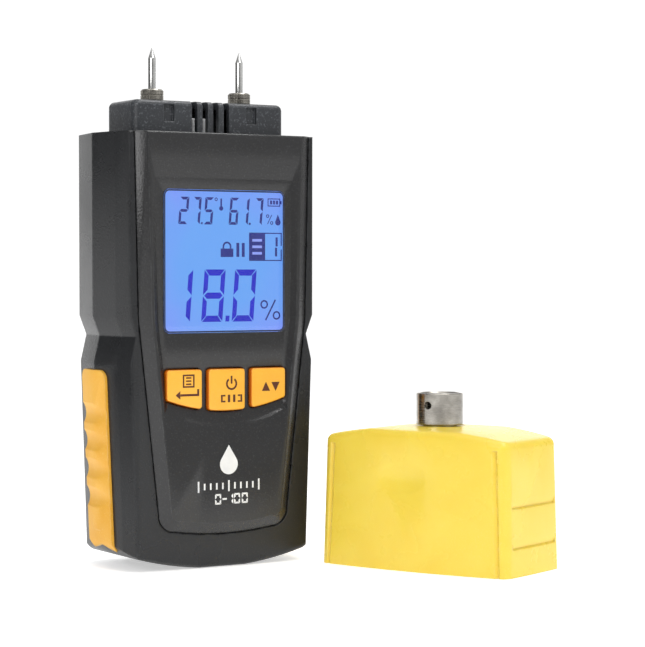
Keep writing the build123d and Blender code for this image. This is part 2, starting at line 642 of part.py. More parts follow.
def contact_carrier():
    """Plastic bar inside the cap that holds the two contact tubes, with a hole below the socket."""
    bar = Pos(0, 0, 32.0) * (Box(52.0, 9.0, 4.0) - Cylinder(2.5, 6))
    for side in (-1, 1):
        bar = bar - Pos(side * PIN_X, 0, 32.0) * Cylinder(2.2, 6)
        bar = bar - Pos(side * 23.0, 0, 32.0) * Cylinder(1.2, 6)
    return bar


def carrier_screws():
    screws = []
    for side in (-1, 1):
        shank = Pos(side * 23.0, 0, 30.0) * Cylinder(1.0, 8.2, align=(Align.CENTER, Align.CENTER, Align.MIN))
        head = Pos(side * 23.0, 0, 28.6) * Cylinder(2.0, 1.4, align=(Align.CENTER, Align.CENTER, Align.MIN))
        screws.append(shank + head)
    return screws


def contact_tube(side):
    """Brass tube that a needle enters when the cap is on the meter."""
    tube = Pos(side * PIN_X, 0, 20.0) * Cylinder(2.2, 15.0, align=(Align.CENTER, Align.CENTER, Align.MIN))
    return tube - Pos(side * PIN_X, 0, 19.0) * Cylinder(1.35, 13.0, align=(Align.CENTER, Align.CENTER, Align.MIN))


def connector_body():
    """Bushing of the probe socket, through the crown, with a slit barrel inside the sleeve."""
    base = (Align.CENTER, Align.CENTER, Align.MIN)
    bushing = Pos(0, 0, 34.0) * Cylinder(4.8, SLEEVE_Z - 0.45 - 34.0 + 0.2, align=base)
    collar = Pos(0, 0, SLEEVE_Z - 0.45) * Cylinder(5.3, 1.2, align=base)
    barrel = Pos(0, 0, SLEEVE_Z) * Cylinder(BARREL_R, SLEEVE_TOP_Z - 1.0 - SLEEVE_Z, align=base)
    ring = Pos(0, 0, SLEEVE_Z + 3.4) * Cylinder(BARREL_R + 0.7, 0.8, align=base)
    bore = Pos(0, 0, SLEEVE_Z + 1.0) * Cylinder(3.4, 20, align=base)
    body = bushing + collar + barrel + ring - bore
    body = body - Pos(0, 0, 33.0) * Cylinder(2.4, 10.0, align=base)
    body = body - Pos(0, 0, 33.0) * Cylinder(2.35, 14.0, align=base)
    slits = [Rot(0, 0, 45 + 90 * n) * Pos(0, 0, 50.6) * Box(12, 0.5, 5.4) for n in range(2)]
    return body - slits


def connector_insulator():
    base = (Align.CENTER, Align.CENTER, Align.MIN)
    rod = Pos(0, 0, 35.0) * Cylinder(2.3, 14.0, align=base)
    return rod - Pos(0, 0, 30.0) * Cylinder(0.7, 30, align=base)


def connector_pin():
    base = (Align.CENTER, Align.CENTER, Align.MIN)
    rod = Pos(0, 0, 32.6) * Cylinder(0.68, 18.2, align=base)
    tail = Pos(0, 0, 32.6) * Cylinder(1.1, 2.3, align=base)
    return rod + tail


def connector_nut():
    ceiling = CAP_CROWN_Z - 2.5
    nut = Pos(0, 0, ceiling - 2.6) * extrude(RegularPolygon(7.0, 6), 2.0)
    washer = Pos(0, 0, ceiling - 0.6) * Cylinder(6.8, 0.4, align=(Align.CENTER, Align.CENTER, Align.MIN))
    bore = Pos(0, 0, 35) * Cylinder(4.85, 12)
    return nut + washer - bore


def bayonet_sleeve():
    """Turning sleeve of the socket: open above, an inner web that runs on the barrel, two lock holes."""
    base = (Align.CENTER, Align.CENTER, Align.MIN)
    tube = Pos(0, 0, SLEEVE_Z) * Cylinder(SLEEVE_R, SLEEVE_TOP_Z - SLEEVE_Z, align=base)
    tube = chamfer(tube.edges().filter_by(GeomType.CIRCLE), 0.3)
    web_low = SLEEVE_Z + 1.0
    tube = tube - Pos(0, 0, web_low + 2.2) * Cylinder(SLEEVE_BORE_R, 20, align=base)
    tube = tube - Pos(0, 0, SLEEVE_Z - 1) * Cylinder(SLEEVE_BORE_R, 2.0, align=base)
    tube = tube - Pos(0, 0, SLEEVE_Z) * Cylinder(BARREL_R + RUN_FIT, 20, align=base)
    lip = Pos(0, 0, SLEEVE_TOP_Z - 0.5) * Cone(SLEEVE_BORE_R, SLEEVE_BORE_R + 0.55, 0.5, align=base)
    tube = tube - lip
    hole = Pos(0, 0, SLEEVE_Z + 6.1) * Rot(0, 90, 0) * Cylinder(1.2, 30)
    return tube - Rot(0, 0, -88.0) * hole


def placed_cap(solid):
    """Puts a piece of the cap, modelled about its own middle, where the cap stands."""
    return Pos(CAP_X, CAP_Y, 0) * Rot(0, 0, CAP_TURN) * solid


NODES = {
    "rear_shell": rear_shell,
    "front_shell": front_shell,
    "front_panel": front_panel,
    "display_window": display_window,
    "lcd_glass": lcd_glass,
    "lcd_backlight": lcd_backlight,
    "lcd_frame": lcd_frame,
    "contact_strips": contact_strips,
    "main_board": main_board,
    "board_screws": board_screws,
    "board_chips": board_chips,
    "buzzer": buzzer,
    "keypad_mat": keypad_mat,
    "enter_button": lambda: key(0),
    "power_button": lambda: key(1),
    "set_button": lambda: key(2),
    "left_grip": lambda: grip(-1),
    "right_grip": lambda: grip(1),
    "probe_head": probe_head,
    "sensor_board": sensor_board,
    "humidity_sensor": humidity_sensor,
    "left_pin_post": lambda: pin_post(-1),
    "right_pin_post": lambda: pin_post(1),
    "left_pin_tab": lambda: pin_tab(-1),
    "right_pin_tab": lambda: pin_tab(1),
    "left_needle": lambda: needle(-1),
    "right_needle": lambda: needle(1),
    "left_pin_nut": lambda: pin_nut(-1),
    "right_pin_nut": lambda: pin_nut(1),
    "battery_tray": battery_tray,
    "left_battery": lambda: cell(0),
    "middle_battery": lambda: cell(1),
    "right_battery": lambda: cell(2),
    "battery_plates": battery_plates,
    "battery_springs": battery_springs,
    "battery_door": battery_door,
    "door_hinge_pin": door_hinge_pin,
    "rear_label": rear_label,
    "case_screws": case_screws,
}

CAP_NODES = {
    "cap_shell": cap_shell,
    "contact_carrier": contact_carrier,
    "carrier_screws": carrier_screws,
    "left_contact_tube": lambda: contact_tube(-1),
    "right_contact_tube": lambda: contact_tube(1),
    "connector_body": connector_body,
    "connector_insulator": connector_insulator,
    "connector_pin": connector_pin,
    "connector_nut": connector_nut,
    "bayonet_sleeve": bayonet_sleeve,
}


def write_node(name, made, place):
    pieces = made if isinstance(made, list) else [made]
    solids = [place(solid) for piece in pieces for solid in piece.solids()]
    shape = solids[0] if len(solids) == 1 else Compound(children=solids)
    export_step(shape, f"parts/{name}.step")
    box = shape.bounding_box()
    print(f"{name:22s} solids {len(solids)}  x {box.min.X:7.2f} {box.max.X:7.2f}"
          f"  y {box.min.Y:7.2f} {box.max.Y:7.2f}  z {box.min.Z:7.2f} {box.max.Z:7.2f}")


os.makedirs("parts", exist_ok=True)
for node_name, make in NODES.items():
    write_node(node_name, make(), lambda solid: solid)
for node_name, make in CAP_NODES.items():
    write_node(node_name, make(), placed_cap)
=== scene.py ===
# %% [markdown]
# A pin-type moisture meter and its yellow pin cap.
# The solid model is already made in CAD. This lesson gives it its looks: soft moulded edges, knurled collars,
# a lit display with its digits, printed key marks, and a finish for each material.
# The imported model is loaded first, and its box is kept, because the looks may not change its size.

import math

import bpy
from mathutils import Matrix, Vector


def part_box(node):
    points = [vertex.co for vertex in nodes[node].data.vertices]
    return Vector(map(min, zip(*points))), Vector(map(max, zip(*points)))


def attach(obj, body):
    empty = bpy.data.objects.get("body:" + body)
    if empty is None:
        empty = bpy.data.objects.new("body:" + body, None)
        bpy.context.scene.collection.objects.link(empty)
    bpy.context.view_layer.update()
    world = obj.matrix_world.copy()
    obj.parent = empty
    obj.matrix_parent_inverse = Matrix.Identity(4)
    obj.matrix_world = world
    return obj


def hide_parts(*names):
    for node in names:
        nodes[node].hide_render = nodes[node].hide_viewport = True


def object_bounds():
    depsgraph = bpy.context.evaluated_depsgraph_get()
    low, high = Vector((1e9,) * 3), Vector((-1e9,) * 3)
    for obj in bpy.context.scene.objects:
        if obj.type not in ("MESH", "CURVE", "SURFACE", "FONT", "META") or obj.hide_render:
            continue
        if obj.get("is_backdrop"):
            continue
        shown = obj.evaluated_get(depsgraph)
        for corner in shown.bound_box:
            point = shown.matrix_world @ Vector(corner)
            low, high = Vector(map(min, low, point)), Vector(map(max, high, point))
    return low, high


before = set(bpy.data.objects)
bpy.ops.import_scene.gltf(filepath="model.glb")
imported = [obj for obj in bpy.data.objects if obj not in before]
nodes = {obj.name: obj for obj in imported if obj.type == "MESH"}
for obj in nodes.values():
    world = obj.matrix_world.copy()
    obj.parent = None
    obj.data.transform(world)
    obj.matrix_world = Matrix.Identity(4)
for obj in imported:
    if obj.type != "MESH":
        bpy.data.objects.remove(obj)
cad_box = [list(corner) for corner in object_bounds()]
MM = 0.001  # one millimetre in metres, the unit of the scene
for stand_in in bpy.data.materials:
    stand_in.name = "cad_" + stand_in.name  # the plain colours of the CAD model make room for the finishes
print("loaded", len(nodes), "nodes, box", [[round(v, 4) for v in corner] for corner in cad_box])

# %% [markdown]
# A product picture of such a meter is taken at table height with a long lens, a little to its left.
# The camera could be aimed with a constraint, but two plain angles are easier to read and to check.

# %% Camera
LENS_REACH = 2181.24 / 647  # how many times its own width a thing is away when it just fills the picture
LOOK_DOWN, LOOK_RIGHT = 1.34, 31.3
camera_data = bpy.data.cameras.new("camera")
camera_data.sensor_width = 36.0
camera_data.lens = camera_data.sensor_width * LENS_REACH
camera_data.clip_start = 0.01
camera = bpy.data.objects.new("camera", camera_data)
bpy.context.scene.collection.objects.link(camera)
camera.location = (-320.83 * MM, -601.92 * MM, 90.17 * MM)
camera.rotation_euler = (math.radians(90 - LOOK_DOWN), 0, math.radians(-LOOK_RIGHT))
bpy.context.scene.camera = camera
print("camera lens", round(camera_data.lens, 2), "mm")

# %% [markdown]
# The finishes and the sky are built from shader nodes, and the same few steps come back in all of them. They are
# written once here, so that each recipe below can be read as a list of what it does.


# %% Helpers for shader nodes
def hex_colour(text):
    """Linear colour from a hex code such as #F0C040."""
    parts = [int(text[i:i + 2], 16) / 255 for i in (1, 3, 5)]
    return tuple(p / 12.92 if p <= 0.04045 else ((p + 0.055) / 1.055) ** 2.4 for p in parts) + (1.0,)


def feed(tree, socket, value):
    """Gives a socket a plain value, or links another socket to it."""
    if isinstance(value, bpy.types.NodeSocket):
        tree.links.new(value, socket)
    elif value is not None:
        socket.default_value = value


def start_finish(name):
    """A new material, as its node tree, its shader and itself."""
    finish = bpy.data.materials.new(name)
    finish.use_nodes = True
    return finish.node_tree, finish.node_tree.nodes["Principled BSDF"], finish


def maths(tree, operation, first, second=None):
    """One Math node. Each operand is a number or a socket."""
    node = tree.nodes.new("ShaderNodeMath")
    node.operation = operation
    for socket, value in zip(node.inputs, (first, second)):
        feed(tree, socket, value)
    return node.outputs[0]


def spread(tree, value, low, high, to_low=0.0, to_high=1.0):
    """Maps a value from one range to another, held at both ends."""
    node = tree.nodes.new("ShaderNodeMapRange")
    for label, number in (("Value", value), ("From Min", low), ("From Max", high),
                          ("To Min", to_low), ("To Max", to_high)):
        feed(tree, node.inputs[label], number)
    return node.outputs["Result"]


def dot_product(tree, first, second):
    """How far two directions agree, from 1 for the same to -1 for opposite."""
    node = tree.nodes.new("ShaderNodeVectorMath")
    node.operation = "DOT_PRODUCT"
    feed(tree, node.inputs[0], first)
    feed(tree, node.inputs[1], second)
    return node.outputs["Value"]


def mix_colour(tree, mask, first, second):
    """Mix node between two colours; each is a colour or a socket."""
    node = tree.nodes.new("ShaderNodeMix")
    node.data_type = "RGBA"
    feed(tree, node.inputs["Factor"], mask)
    feed(tree, node.inputs[6], first)
    feed(tree, node.inputs[7], second)
    return node.outputs[2]


def noise(tree, where, scale, detail=2.0):
    """A noise texture read at a place; its scale is a number or a socket."""
    node = tree.nodes.new("ShaderNodeTexNoise")
    node.inputs["Detail"].default_value = detail
    tree.links.new(where, node.inputs["Vector"])
    feed(tree, node.inputs["Scale"], scale)
    return node.outputs["Fac"]


def object_place(tree):
    """Where a point lies on its own piece, so a pattern travels with the piece."""
    return tree.nodes.new("ShaderNodeTexCoord").outputs["Object"]


def relief(tree, shader, height, normal, strength, distance):
    """A bump on top of an edge normal, fed to the shader."""
    bump = tree.nodes.new("ShaderNodeBump")
    bump.inputs["Strength"].default_value = strength
    bump.inputs["Distance"].default_value = distance
    tree.links.new(height, bump.inputs["Height"])
    tree.links.new(normal, bump.inputs["Normal"])
    tree.links.new(bump.outputs["Normal"], shader.inputs["Normal"])


print("node helpers ready")

# %% [markdown]
# The pieces stand on a plain pale table under soft light. Large soft lamps on each side draw long highlights
# along the ridges of dark plastic, which a bare white sky alone would leave flat.
# The table is one big disc that fades into the white sky, so no horizon shows.


# %% Light and table
def soft_lamp(name, place, aim, width, height, power):
    """A rectangular soft lamp at a place, turned towards a point."""
    lamp = bpy.data.lights.new(name, "AREA")
    lamp.shape, lamp.size, lamp.size_y, lamp.energy = "RECTANGLE", width, height, power
    holder = bpy.data.objects.new(name, lamp)
    holder.location = place
    holder.rotation_euler = (Vector(aim) - Vector(place)).to_track_quat("-Z", "Y").to_euler()
    bpy.context.scene.collection.objects.link(holder)


soft_lamp("left_lamp", (-0.75, -0.25, 0.35), (0, 0, 0.07), 0.5, 0.7, 0.15)
soft_lamp("right_lamp", (0.75, -0.35, 0.45), (0.02, 0, 0.07), 0.4, 0.7, 0.5)
soft_lamp("front_lamp", (-0.80, -0.50, 0.50), (0.04, -0.03, 0.04), 0.5, 0.4, 2.6)
soft_lamp("key_lamp", (0.08, -0.62, 0.72), (0.02, -0.02, 0.05), 0.25, 0.20, 1.5)
soft_lamp("ridge_lamp", (0.32, 0.02, 0.9), (0.02, -0.02, 0.05), 0.22, 0.3, 1.6)
soft_lamp("top_lamp", (-0.05, -0.15, 0.9), (0.02, -0.02, 0.05), 0.9, 0.7, 2.0)

TABLE_DROP = 0.1 * MM
bpy.ops.object.select_all(action="DESELECT")
bpy.ops.mesh.primitive_circle_add(vertices=96, radius=3.0, fill_type="NGON", location=(0, 0, -TABLE_DROP))
table = bpy.context.active_object
table.name = "table"
tree, shader, table_white = start_finish("table_white")
shader.inputs["Base Color"].default_value = (0.92, 0.92, 0.92, 1)
shader.inputs["Roughness"].default_value = 0.6
shader.inputs["Emission Color"].default_value = (1, 1, 1, 1)
shader.inputs["Emission Strength"].default_value = 0.5
table.data.materials.append(table_white)
table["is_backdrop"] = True
print("table and", len(bpy.data.lights), "lamps")

# %% [markdown]
# The sky is what the glossy plastic mirrors. It is dark to the left, paler to the right, and dims again at the far
# right. It also grows brighter with height, and a bright wall stands behind on the right; the brightest of the
# three counts. The camera itself sees plain white instead.

# %% Sky
world = bpy.data.worlds.new("studio")
bpy.context.scene.world = world
world.use_nodes = True
tree = world.node_tree
MIRRORED_STRENGTH, SEEN_STRENGTH = 0.62, 1.05
mirrored = tree.nodes["Background"]
mirrored.inputs["Strength"].default_value = MIRRORED_STRENGTH
seen = tree.nodes.new("ShaderNodeBackground")
seen.inputs["Color"].default_value = (1, 1, 1, 1)
seen.inputs["Strength"].default_value = SEEN_STRENGTH
direction = tree.nodes.new("ShaderNodeTexCoord")
towards = tree.nodes.new("ShaderNodeSeparateXYZ")
tree.links.new(direction.outputs["Generated"], towards.inputs[0])
sides = maths(tree, "MULTIPLY", spread(tree, towards.outputs["X"], -0.6, 0.5, 0.22, 1.0),
              spread(tree, towards.outputs["X"], 0.65, 0.95, 1.0, 0.4))
TOWARDS_WALL = (0.52, 0.85, 0.0)
wall = dot_product(tree, direction.outputs["Generated"], TOWARDS_WALL)
brightness = maths(tree, "MAXIMUM", maths(tree, "MAXIMUM", sides, towards.outputs["Z"]),
                   spread(tree, wall, 0.6, 0.95, 0.0, 2.6))
tree.links.new(brightness, mirrored.inputs["Color"])
path = tree.nodes.new("ShaderNodeLightPath")
choice = tree.nodes.new("ShaderNodeMixShader")
tree.links.new(path.outputs["Is Camera Ray"], choice.inputs[0])
tree.links.new(mirrored.outputs[0], choice.inputs[1])
tree.links.new(seen.outputs[0], choice.inputs[2])
tree.links.new(choice.outputs[0], tree.nodes["World Output"].inputs["Surface"])
bpy.context.scene.view_settings.view_transform = "Standard"
print("sky ready")

# %% [markdown]
# Real mouldings are never one flat colour. Three effects come back in most finishes, so each is a node group that
# is built once: a fine moulded grain, rubbed edges with a slightly rounded normal, whose mask also places a
# painted highlight, and the marks of turning.
# A group puts out only values and normals. The shader itself stays in each material.


# %% Helpers for node groups
def start_group(name, inputs, outputs):
    """An empty shader group with its named sockets, and its input and output nodes."""
    group = bpy.data.node_groups.new(name, "ShaderNodeTree")
    for label, kind, value in inputs:
        group.interface.new_socket(label, in_out="INPUT", socket_type=kind).default_value = value
    for label, kind in outputs:
        group.interface.new_socket(label, in_out="OUTPUT", socket_type=kind)
    return group, group.nodes.new("NodeGroupInput"), group.nodes.new("NodeGroupOutput")


def use_group(tree, group, **values):
    """Places a group in a material with its own numbers."""
    node = tree.nodes.new("ShaderNodeGroup")
    node.node_tree = group
    for label, value in values.items():
        node.inputs[label.replace("_", " ")].default_value = value
    return node


print("group helpers ready")

# %% [markdown]
# The grain of a spark-eroded mould is a field of tiny pits. Noise gives the uneven depth, and a cell pattern
# gives the separate pits. A bump made from both catches small specks of light.

# %% Moulded grain
moulded_grain, grain_in, grain_out = start_group(
    "Moulded grain",
    [("Scale", "NodeSocketFloat", 1500.0), ("Patches", "NodeSocketFloat", 60.0)],
    [("Height", "NodeSocketFloat"), ("Flecks", "NodeSocketFloat"), ("Clouds", "NodeSocketFloat")])
where = object_place(moulded_grain)
fine = noise(moulded_grain, where, grain_in.outputs["Scale"], 3.0)
clouds = noise(moulded_grain, where, grain_in.outputs["Patches"], 4.0)
pits = moulded_grain.nodes.new("ShaderNodeTexVoronoi")
moulded_grain.links.new(where, pits.inputs["Vector"])
moulded_grain.links.new(maths(moulded_grain, "MULTIPLY", grain_in.outputs["Scale"], 0.8), pits.inputs["Scale"])
depth = maths(moulded_grain, "MULTIPLY", pits.outputs["Distance"], fine)
moulded_grain.links.new(maths(moulded_grain, "ADD", depth, fine), grain_out.inputs["Height"])
moulded_grain.links.new(spread(moulded_grain, fine, 0.56, 0.74), grain_out.inputs["Flecks"])
moulded_grain.links.new(spread(moulded_grain, clouds, 0.35, 0.65), grain_out.inputs["Clouds"])
print("group", moulded_grain.name)

# %% [markdown]
# Hands and pockets polish the edges of plastic and the corners of metal. The Bevel node knows where a surface
# turns: where its rounded normal leaves the true one, there is an edge. Noise breaks that line up, so it looks
# worn. On plastic, the same mask also lays a painted highlight along the edges.

# %% Rubbed edges and painted edge highlight
edge_wear_and_highlight, rub_in, rub_out = start_group(
    "Edge wear and highlight",
    [("Width", "NodeSocketFloat", 0.5 * MM), ("Noise scale", "NodeSocketFloat", 300.0)],
    [("Mask", "NodeSocketFloat"), ("Normal", "NodeSocketVector")])
rounded = edge_wear_and_highlight.nodes.new("ShaderNodeBevel")
rounded.samples = 4
edge_wear_and_highlight.links.new(rub_in.outputs["Width"], rounded.inputs["Radius"])
surface = edge_wear_and_highlight.nodes.new("ShaderNodeNewGeometry")
facing = dot_product(edge_wear_and_highlight, rounded.outputs["Normal"], surface.outputs["Normal"])
turning = spread(edge_wear_and_highlight, facing, 0.995, 0.86)
scuffs = noise(edge_wear_and_highlight, object_place(edge_wear_and_highlight), rub_in.outputs["Noise scale"], 5.0)
edge_wear_and_highlight.links.new(maths(edge_wear_and_highlight, "MULTIPLY", turning, spread(edge_wear_and_highlight, scuffs, 0.40, 0.62)),
                       rub_out.inputs["Mask"])
edge_wear_and_highlight.links.new(rounded.outputs["Normal"], rub_out.inputs["Normal"])
print("group", edge_wear_and_highlight.name)

# %% [markdown]
# Turned metal keeps the fine rings of the lathe tool. Noise that changes along the axis alone gives them, so no
# two rings are alike, and a second noise in all directions stains them.

# %% Turning marks
turning_marks, turn_in, turn_out = start_group(
    "Turning marks", [("Rings per metre", "NodeSocketFloat", 9000.0)],
    [("Height", "NodeSocketFloat"), ("Streaks", "NodeSocketFloat")])
where = object_place(turning_marks)
along = turning_marks.nodes.new("ShaderNodeSeparateXYZ")
turning_marks.links.new(where, along.inputs[0])
rings = turning_marks.nodes.new("ShaderNodeTexNoise")
rings.noise_dimensions = "1D"
rings.inputs["Detail"].default_value = 3.0
rings.inputs["Scale"].default_value = 1.0
turning_marks.links.new(maths(turning_marks, "MULTIPLY", along.outputs["Z"], turn_in.outputs["Rings per metre"]),
                        rings.inputs["W"])
turning_marks.links.new(rings.outputs["Fac"], turn_out.inputs["Height"])
turning_marks.links.new(maths(turning_marks, "MULTIPLY", rings.outputs["Fac"], noise(turning_marks, where, 250.0)),
                        turn_out.inputs["Streaks"])
print("group", turning_marks.name)

# %% [markdown]
# Moulded plastic and rubber share one recipe: a base colour with cloudy patches and small flecks, edges that
# are rubbed smoother and painted paler, as wear and as a painted highlight, and a grain in the bump. Each finish
# then has its own numbers.


# %% Plastic recipe
# At rubbed edges the edge colour is mixed in, as wear and as a painted highlight, and the roughness drops.
EDGE_WEAR_AND_HIGHLIGHT, EDGE_SMOOTHER = 0.6, -0.08  # what a fully rubbed edge adds to the colour mix and to the roughness


def moulded(name, base, shade, fleck, rough=(0.42, 0.55), scale=1500.0, bump=0.15, fleck_share=0.5,
            edge=None, edge_width=0.5 * MM, specular=0.5, subsurface=0.0):
    """A moulded plastic or rubber finish. Colours are hex codes."""
    tree, shader, finish = start_finish(name)
    grain = use_group(tree, moulded_grain, Scale=scale)
    edges = use_group(tree, edge_wear_and_highlight, Width=edge_width)
    colour = mix_colour(tree, grain.outputs["Clouds"], hex_colour(base), hex_colour(shade))
    flecks = maths(tree, "MULTIPLY", grain.outputs["Flecks"], fleck_share)
    colour = mix_colour(tree, flecks, colour, hex_colour(fleck))
    # painted highlight: rubbed edges are mixed towards the paler edge colour, for wear and for the light they
    # catch
    if edge:
        rubbed_and_highlit = maths(tree, "MULTIPLY", edges.outputs["Mask"], EDGE_WEAR_AND_HIGHLIGHT)
        colour = mix_colour(tree, rubbed_and_highlit, colour, hex_colour(edge))
    tree.links.new(colour, shader.inputs["Base Color"])
    worn = maths(tree, "MULTIPLY", edges.outputs["Mask"], EDGE_SMOOTHER)
    tree.links.new(maths(tree, "ADD", spread(tree, grain.outputs["Clouds"], 0, 1, *rough), worn),
                   shader.inputs["Roughness"])
    relief(tree, shader, grain.outputs["Height"], edges.outputs["Normal"], bump, 0.2 * MM)
    shader.inputs["Specular IOR Level"].default_value = specular
    if subsurface:
        shader.inputs["Subsurface Weight"].default_value = subsurface
        shader.inputs["Subsurface Scale"].default_value = 2 * MM
        shader.inputs["Subsurface Radius"].default_value = (1.0, 0.6, 0.2)
    return finish


# The edge colour of each finish is a paler tone for rubbed edges and for a painted highlight.
case_charcoal = moulded("case_charcoal", "#1B1C1E", "#1F2022", "#45474A", rough=(0.25, 0.31), scale=2000.0,
                        fleck_share=0.3, edge="#5E6062", edge_width=0.7 * MM, specular=0.38)
panel_charcoal = moulded("panel_charcoal", "#242425", "#272728", "#4C4D4E", rough=(0.17, 0.22), scale=2000.0,
                         fleck_share=0.3, edge="#606263", edge_width=0.7 * MM)
head_charcoal = moulded("head_charcoal", "#2E3034", "#34373B", "#73777C", rough=(0.28, 0.36), scale=1700.0,
                        fleck_share=0.6, edge="#75787C", bump=0.3)
cap_yellow = moulded("cap_yellow", "#F1D650", "#EED046", "#F8E38C", rough=(0.24, 0.30), scale=2200.0, bump=0.05,
                     fleck_share=0.2, edge="#FFEEA6", edge_width=0.6 * MM, subsurface=0.12)
grip_yellow = moulded("grip_yellow", "#F0B53C", "#EAAB30", "#F6CF7C", rough=(0.46, 0.58), scale=1800.0, bump=0.12,
                      fleck_share=0.35, edge="#F7D48C", subsurface=0.08)
sensor_white = moulded("sensor_white", "#FFFFFF", "#F4F6F7", "#FFFFFF", rough=(0.6, 0.8), scale=2500.0, bump=0.1)
tray_black = moulded("tray_black", "#232426", "#28292B", "#47484A")
carrier_black = moulded("carrier_black", "#222224", "#2A2A2C", "#4A4A4C")
frame_black = moulded("frame_black", "#1D1E20", "#242527", "#3C3D40")
strip_rubber = moulded("strip_rubber", "#C7C9CC", "#5A5C60", "#E0E0E0")
diffuser_white = moulded("diffuser_white", "#EEF1F6", "#E2E6EE", "#FFFFFF")
insulator_white = moulded("insulator_white", "#ECEAE2", "#E0DDD2", "#FFFFFF")
mat_silicone = moulded("mat_silicone", "#9A9DA0", "#8E9194", "#B8BBBD")
board_black = moulded("board_black", "#121614", "#161B18", "#2A302C")
chip_black = moulded("chip_black", "#1B1C1E", "#222326", "#505256")
print("moulded finishes", len(bpy.data.materials))

# %% [markdown]
# The three keys are amber, and a painted shade turns their flanks deep orange, because light is lost in the gap
# round them.
# The side of a key is told from its face by the surface normal: the face looks to the front, and a flank does not.


# %% Key finish
def overpaint(finish, mask, colour):
    """Paints a colour over a finish wherever the mask is 1."""
    shader = finish.node_tree.nodes["Principled BSDF"]
    below = shader.inputs["Base Color"].links[0].from_socket
    finish.node_tree.links.new(mix_colour(finish.node_tree, mask, below, hex_colour(colour)),
                               shader.inputs["Base Color"])


key_amber = moulded("key_amber", "#F6B638", "#F2AF32", "#FFD277", rough=(0.30, 0.40), scale=2200.0, bump=0.04,
                    fleck_share=0.15, subsurface=0.1)
tree = key_amber.node_tree
surface = tree.nodes.new("ShaderNodeNewGeometry")
FRONT = (0, -1, 0)
turned = dot_product(tree, surface.outputs["Normal"], FRONT)
# painted shade: the flanks that turn away from the front are painted deep orange
overpaint(key_amber, spread(tree, turned, 0.9, 0.35), "#D2690A")
print("finish", key_amber.name)

# %% [markdown]
# Metal parts differ in tone and in how they were made. Steel needles are ground bright, the collars are nickel
# plated, the socket is turned. One recipe serves them: metallic, with lathe rings in its tone and its roughness.


# %% Metal recipe
def metal(name, tone, dark, rough=(0.18, 0.32)):
    """A metal finish with turning marks and worn edges. Colours are hex codes."""
    tree, shader, finish = start_finish(name)
    shader.inputs["Metallic"].default_value = 1.0
    marks = use_group(tree, turning_marks, Rings_per_metre=9000.0)
    edges = use_group(tree, edge_wear_and_highlight, Width=0.12 * MM, Noise_scale=900.0)
    streaks = spread(tree, marks.outputs["Streaks"], 0.15, 0.4)
    colour = mix_colour(tree, streaks, hex_colour(dark), hex_colour(tone))
    tree.links.new(mix_colour(tree, edges.outputs["Mask"], colour, hex_colour(tone)), shader.inputs["Base Color"])
    tree.links.new(spread(tree, marks.outputs["Height"], 0.3, 0.7, *rough), shader.inputs["Roughness"])
    relief(tree, shader, marks.outputs["Height"], edges.outputs["Normal"], 0.08, 0.05 * MM)
    return finish


needle_steel = metal("needle_steel", "#E6E6E4", "#BDBDBB", rough=(0.12, 0.24))
nut_nickel = metal("nut_nickel", "#B9B5AC", "#6E6B65", rough=(0.2, 0.34))
post_nickel = metal("post_nickel", "#CFCBC2", "#A39F96")
tab_brass = metal("tab_brass", "#D9B765", "#A98638")
contact_nickel = metal("contact_nickel", "#D6D5D0", "#A8A7A2")
screw_steel = metal("screw_steel", "#9A9A9A", "#5F5F60", rough=(0.3, 0.45))
connector_metal = metal("connector_metal", "#C2BEB6", "#8D8982", rough=(0.16, 0.30))
pin_gold = metal("pin_gold", "#F0CC6A", "#C39A3A")
print("metal finishes", len(bpy.data.materials))

# %% [markdown]
# The lens is clear acrylic. Fine handling marks change its roughness a little, while its metallic and
# transmission values stay plain numbers.

# %% Window finish
tree, shader, window_clear = start_finish("window_clear")
shader.inputs["Transmission Weight"].default_value = 1.0
shader.inputs["IOR"].default_value = 1.49
shader.inputs["Specular IOR Level"].default_value = 0.05
grain = use_group(tree, moulded_grain, Scale=220.0)
tree.links.new(spread(tree, grain.outputs["Clouds"], 0, 1, 0.0, 0.035), shader.inputs["Roughness"])
tree.links.new(mix_colour(tree, grain.outputs["Clouds"], hex_colour("#FFFFFF"), hex_colour("#FAFCFF")),
               shader.inputs["Base Color"])
print("finish", window_clear.name)

# %% [markdown]
# The display is a blue backlit panel. It glows by itself, palest in the middle, a little violet towards the
# corners. The violet is spread by the distance from the middle and broken up by noise.

# %% Display finish
lcd_low, lcd_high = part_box("lcd_glass")
lcd_middle = (lcd_low + lcd_high) / 2
tree, shader, lcd_blue = start_finish("lcd_blue")
where = object_place(tree)
centred = tree.nodes.new("ShaderNodeVectorMath")
centred.operation = "SUBTRACT"
centred.inputs[1].default_value = lcd_middle
tree.links.new(where, centred.inputs[0])
far = tree.nodes.new("ShaderNodeVectorMath")
far.operation = "LENGTH"
tree.links.new(centred.outputs[0], far.inputs[0])
glow = noise(tree, where, 45.0)
TINT_FROM, TINT_FULL = 14 * MM, 31 * MM  # distances from the middle of the display
edge_tint = maths(tree, "MULTIPLY", spread(tree, far.outputs["Value"], TINT_FROM, TINT_FULL),
                  spread(tree, glow, 0.35, 0.6))
tree.links.new(mix_colour(tree, edge_tint, hex_colour("#68A8FA"), hex_colour("#8098FF")),
               shader.inputs["Emission Color"])
tree.links.new(mix_colour(tree, glow, hex_colour("#10141C"), hex_colour("#0A0C12")), shader.inputs["Base Color"])
shader.inputs["Emission Strength"].default_value = 0.98
shader.inputs["Roughness"].default_value = 0.6
shader.inputs["Specular IOR Level"].default_value = 0.1
print("finish", lcd_blue.name, "middle", [round(v, 4) for v in lcd_middle])

# %% [markdown]
# Digits and printed marks are thin inks. The digits let some backlight through, so they glow deep blue. The
# marks on the keys are a brown print, and the mark on the panel is white. Ink is never even: noise thins it.


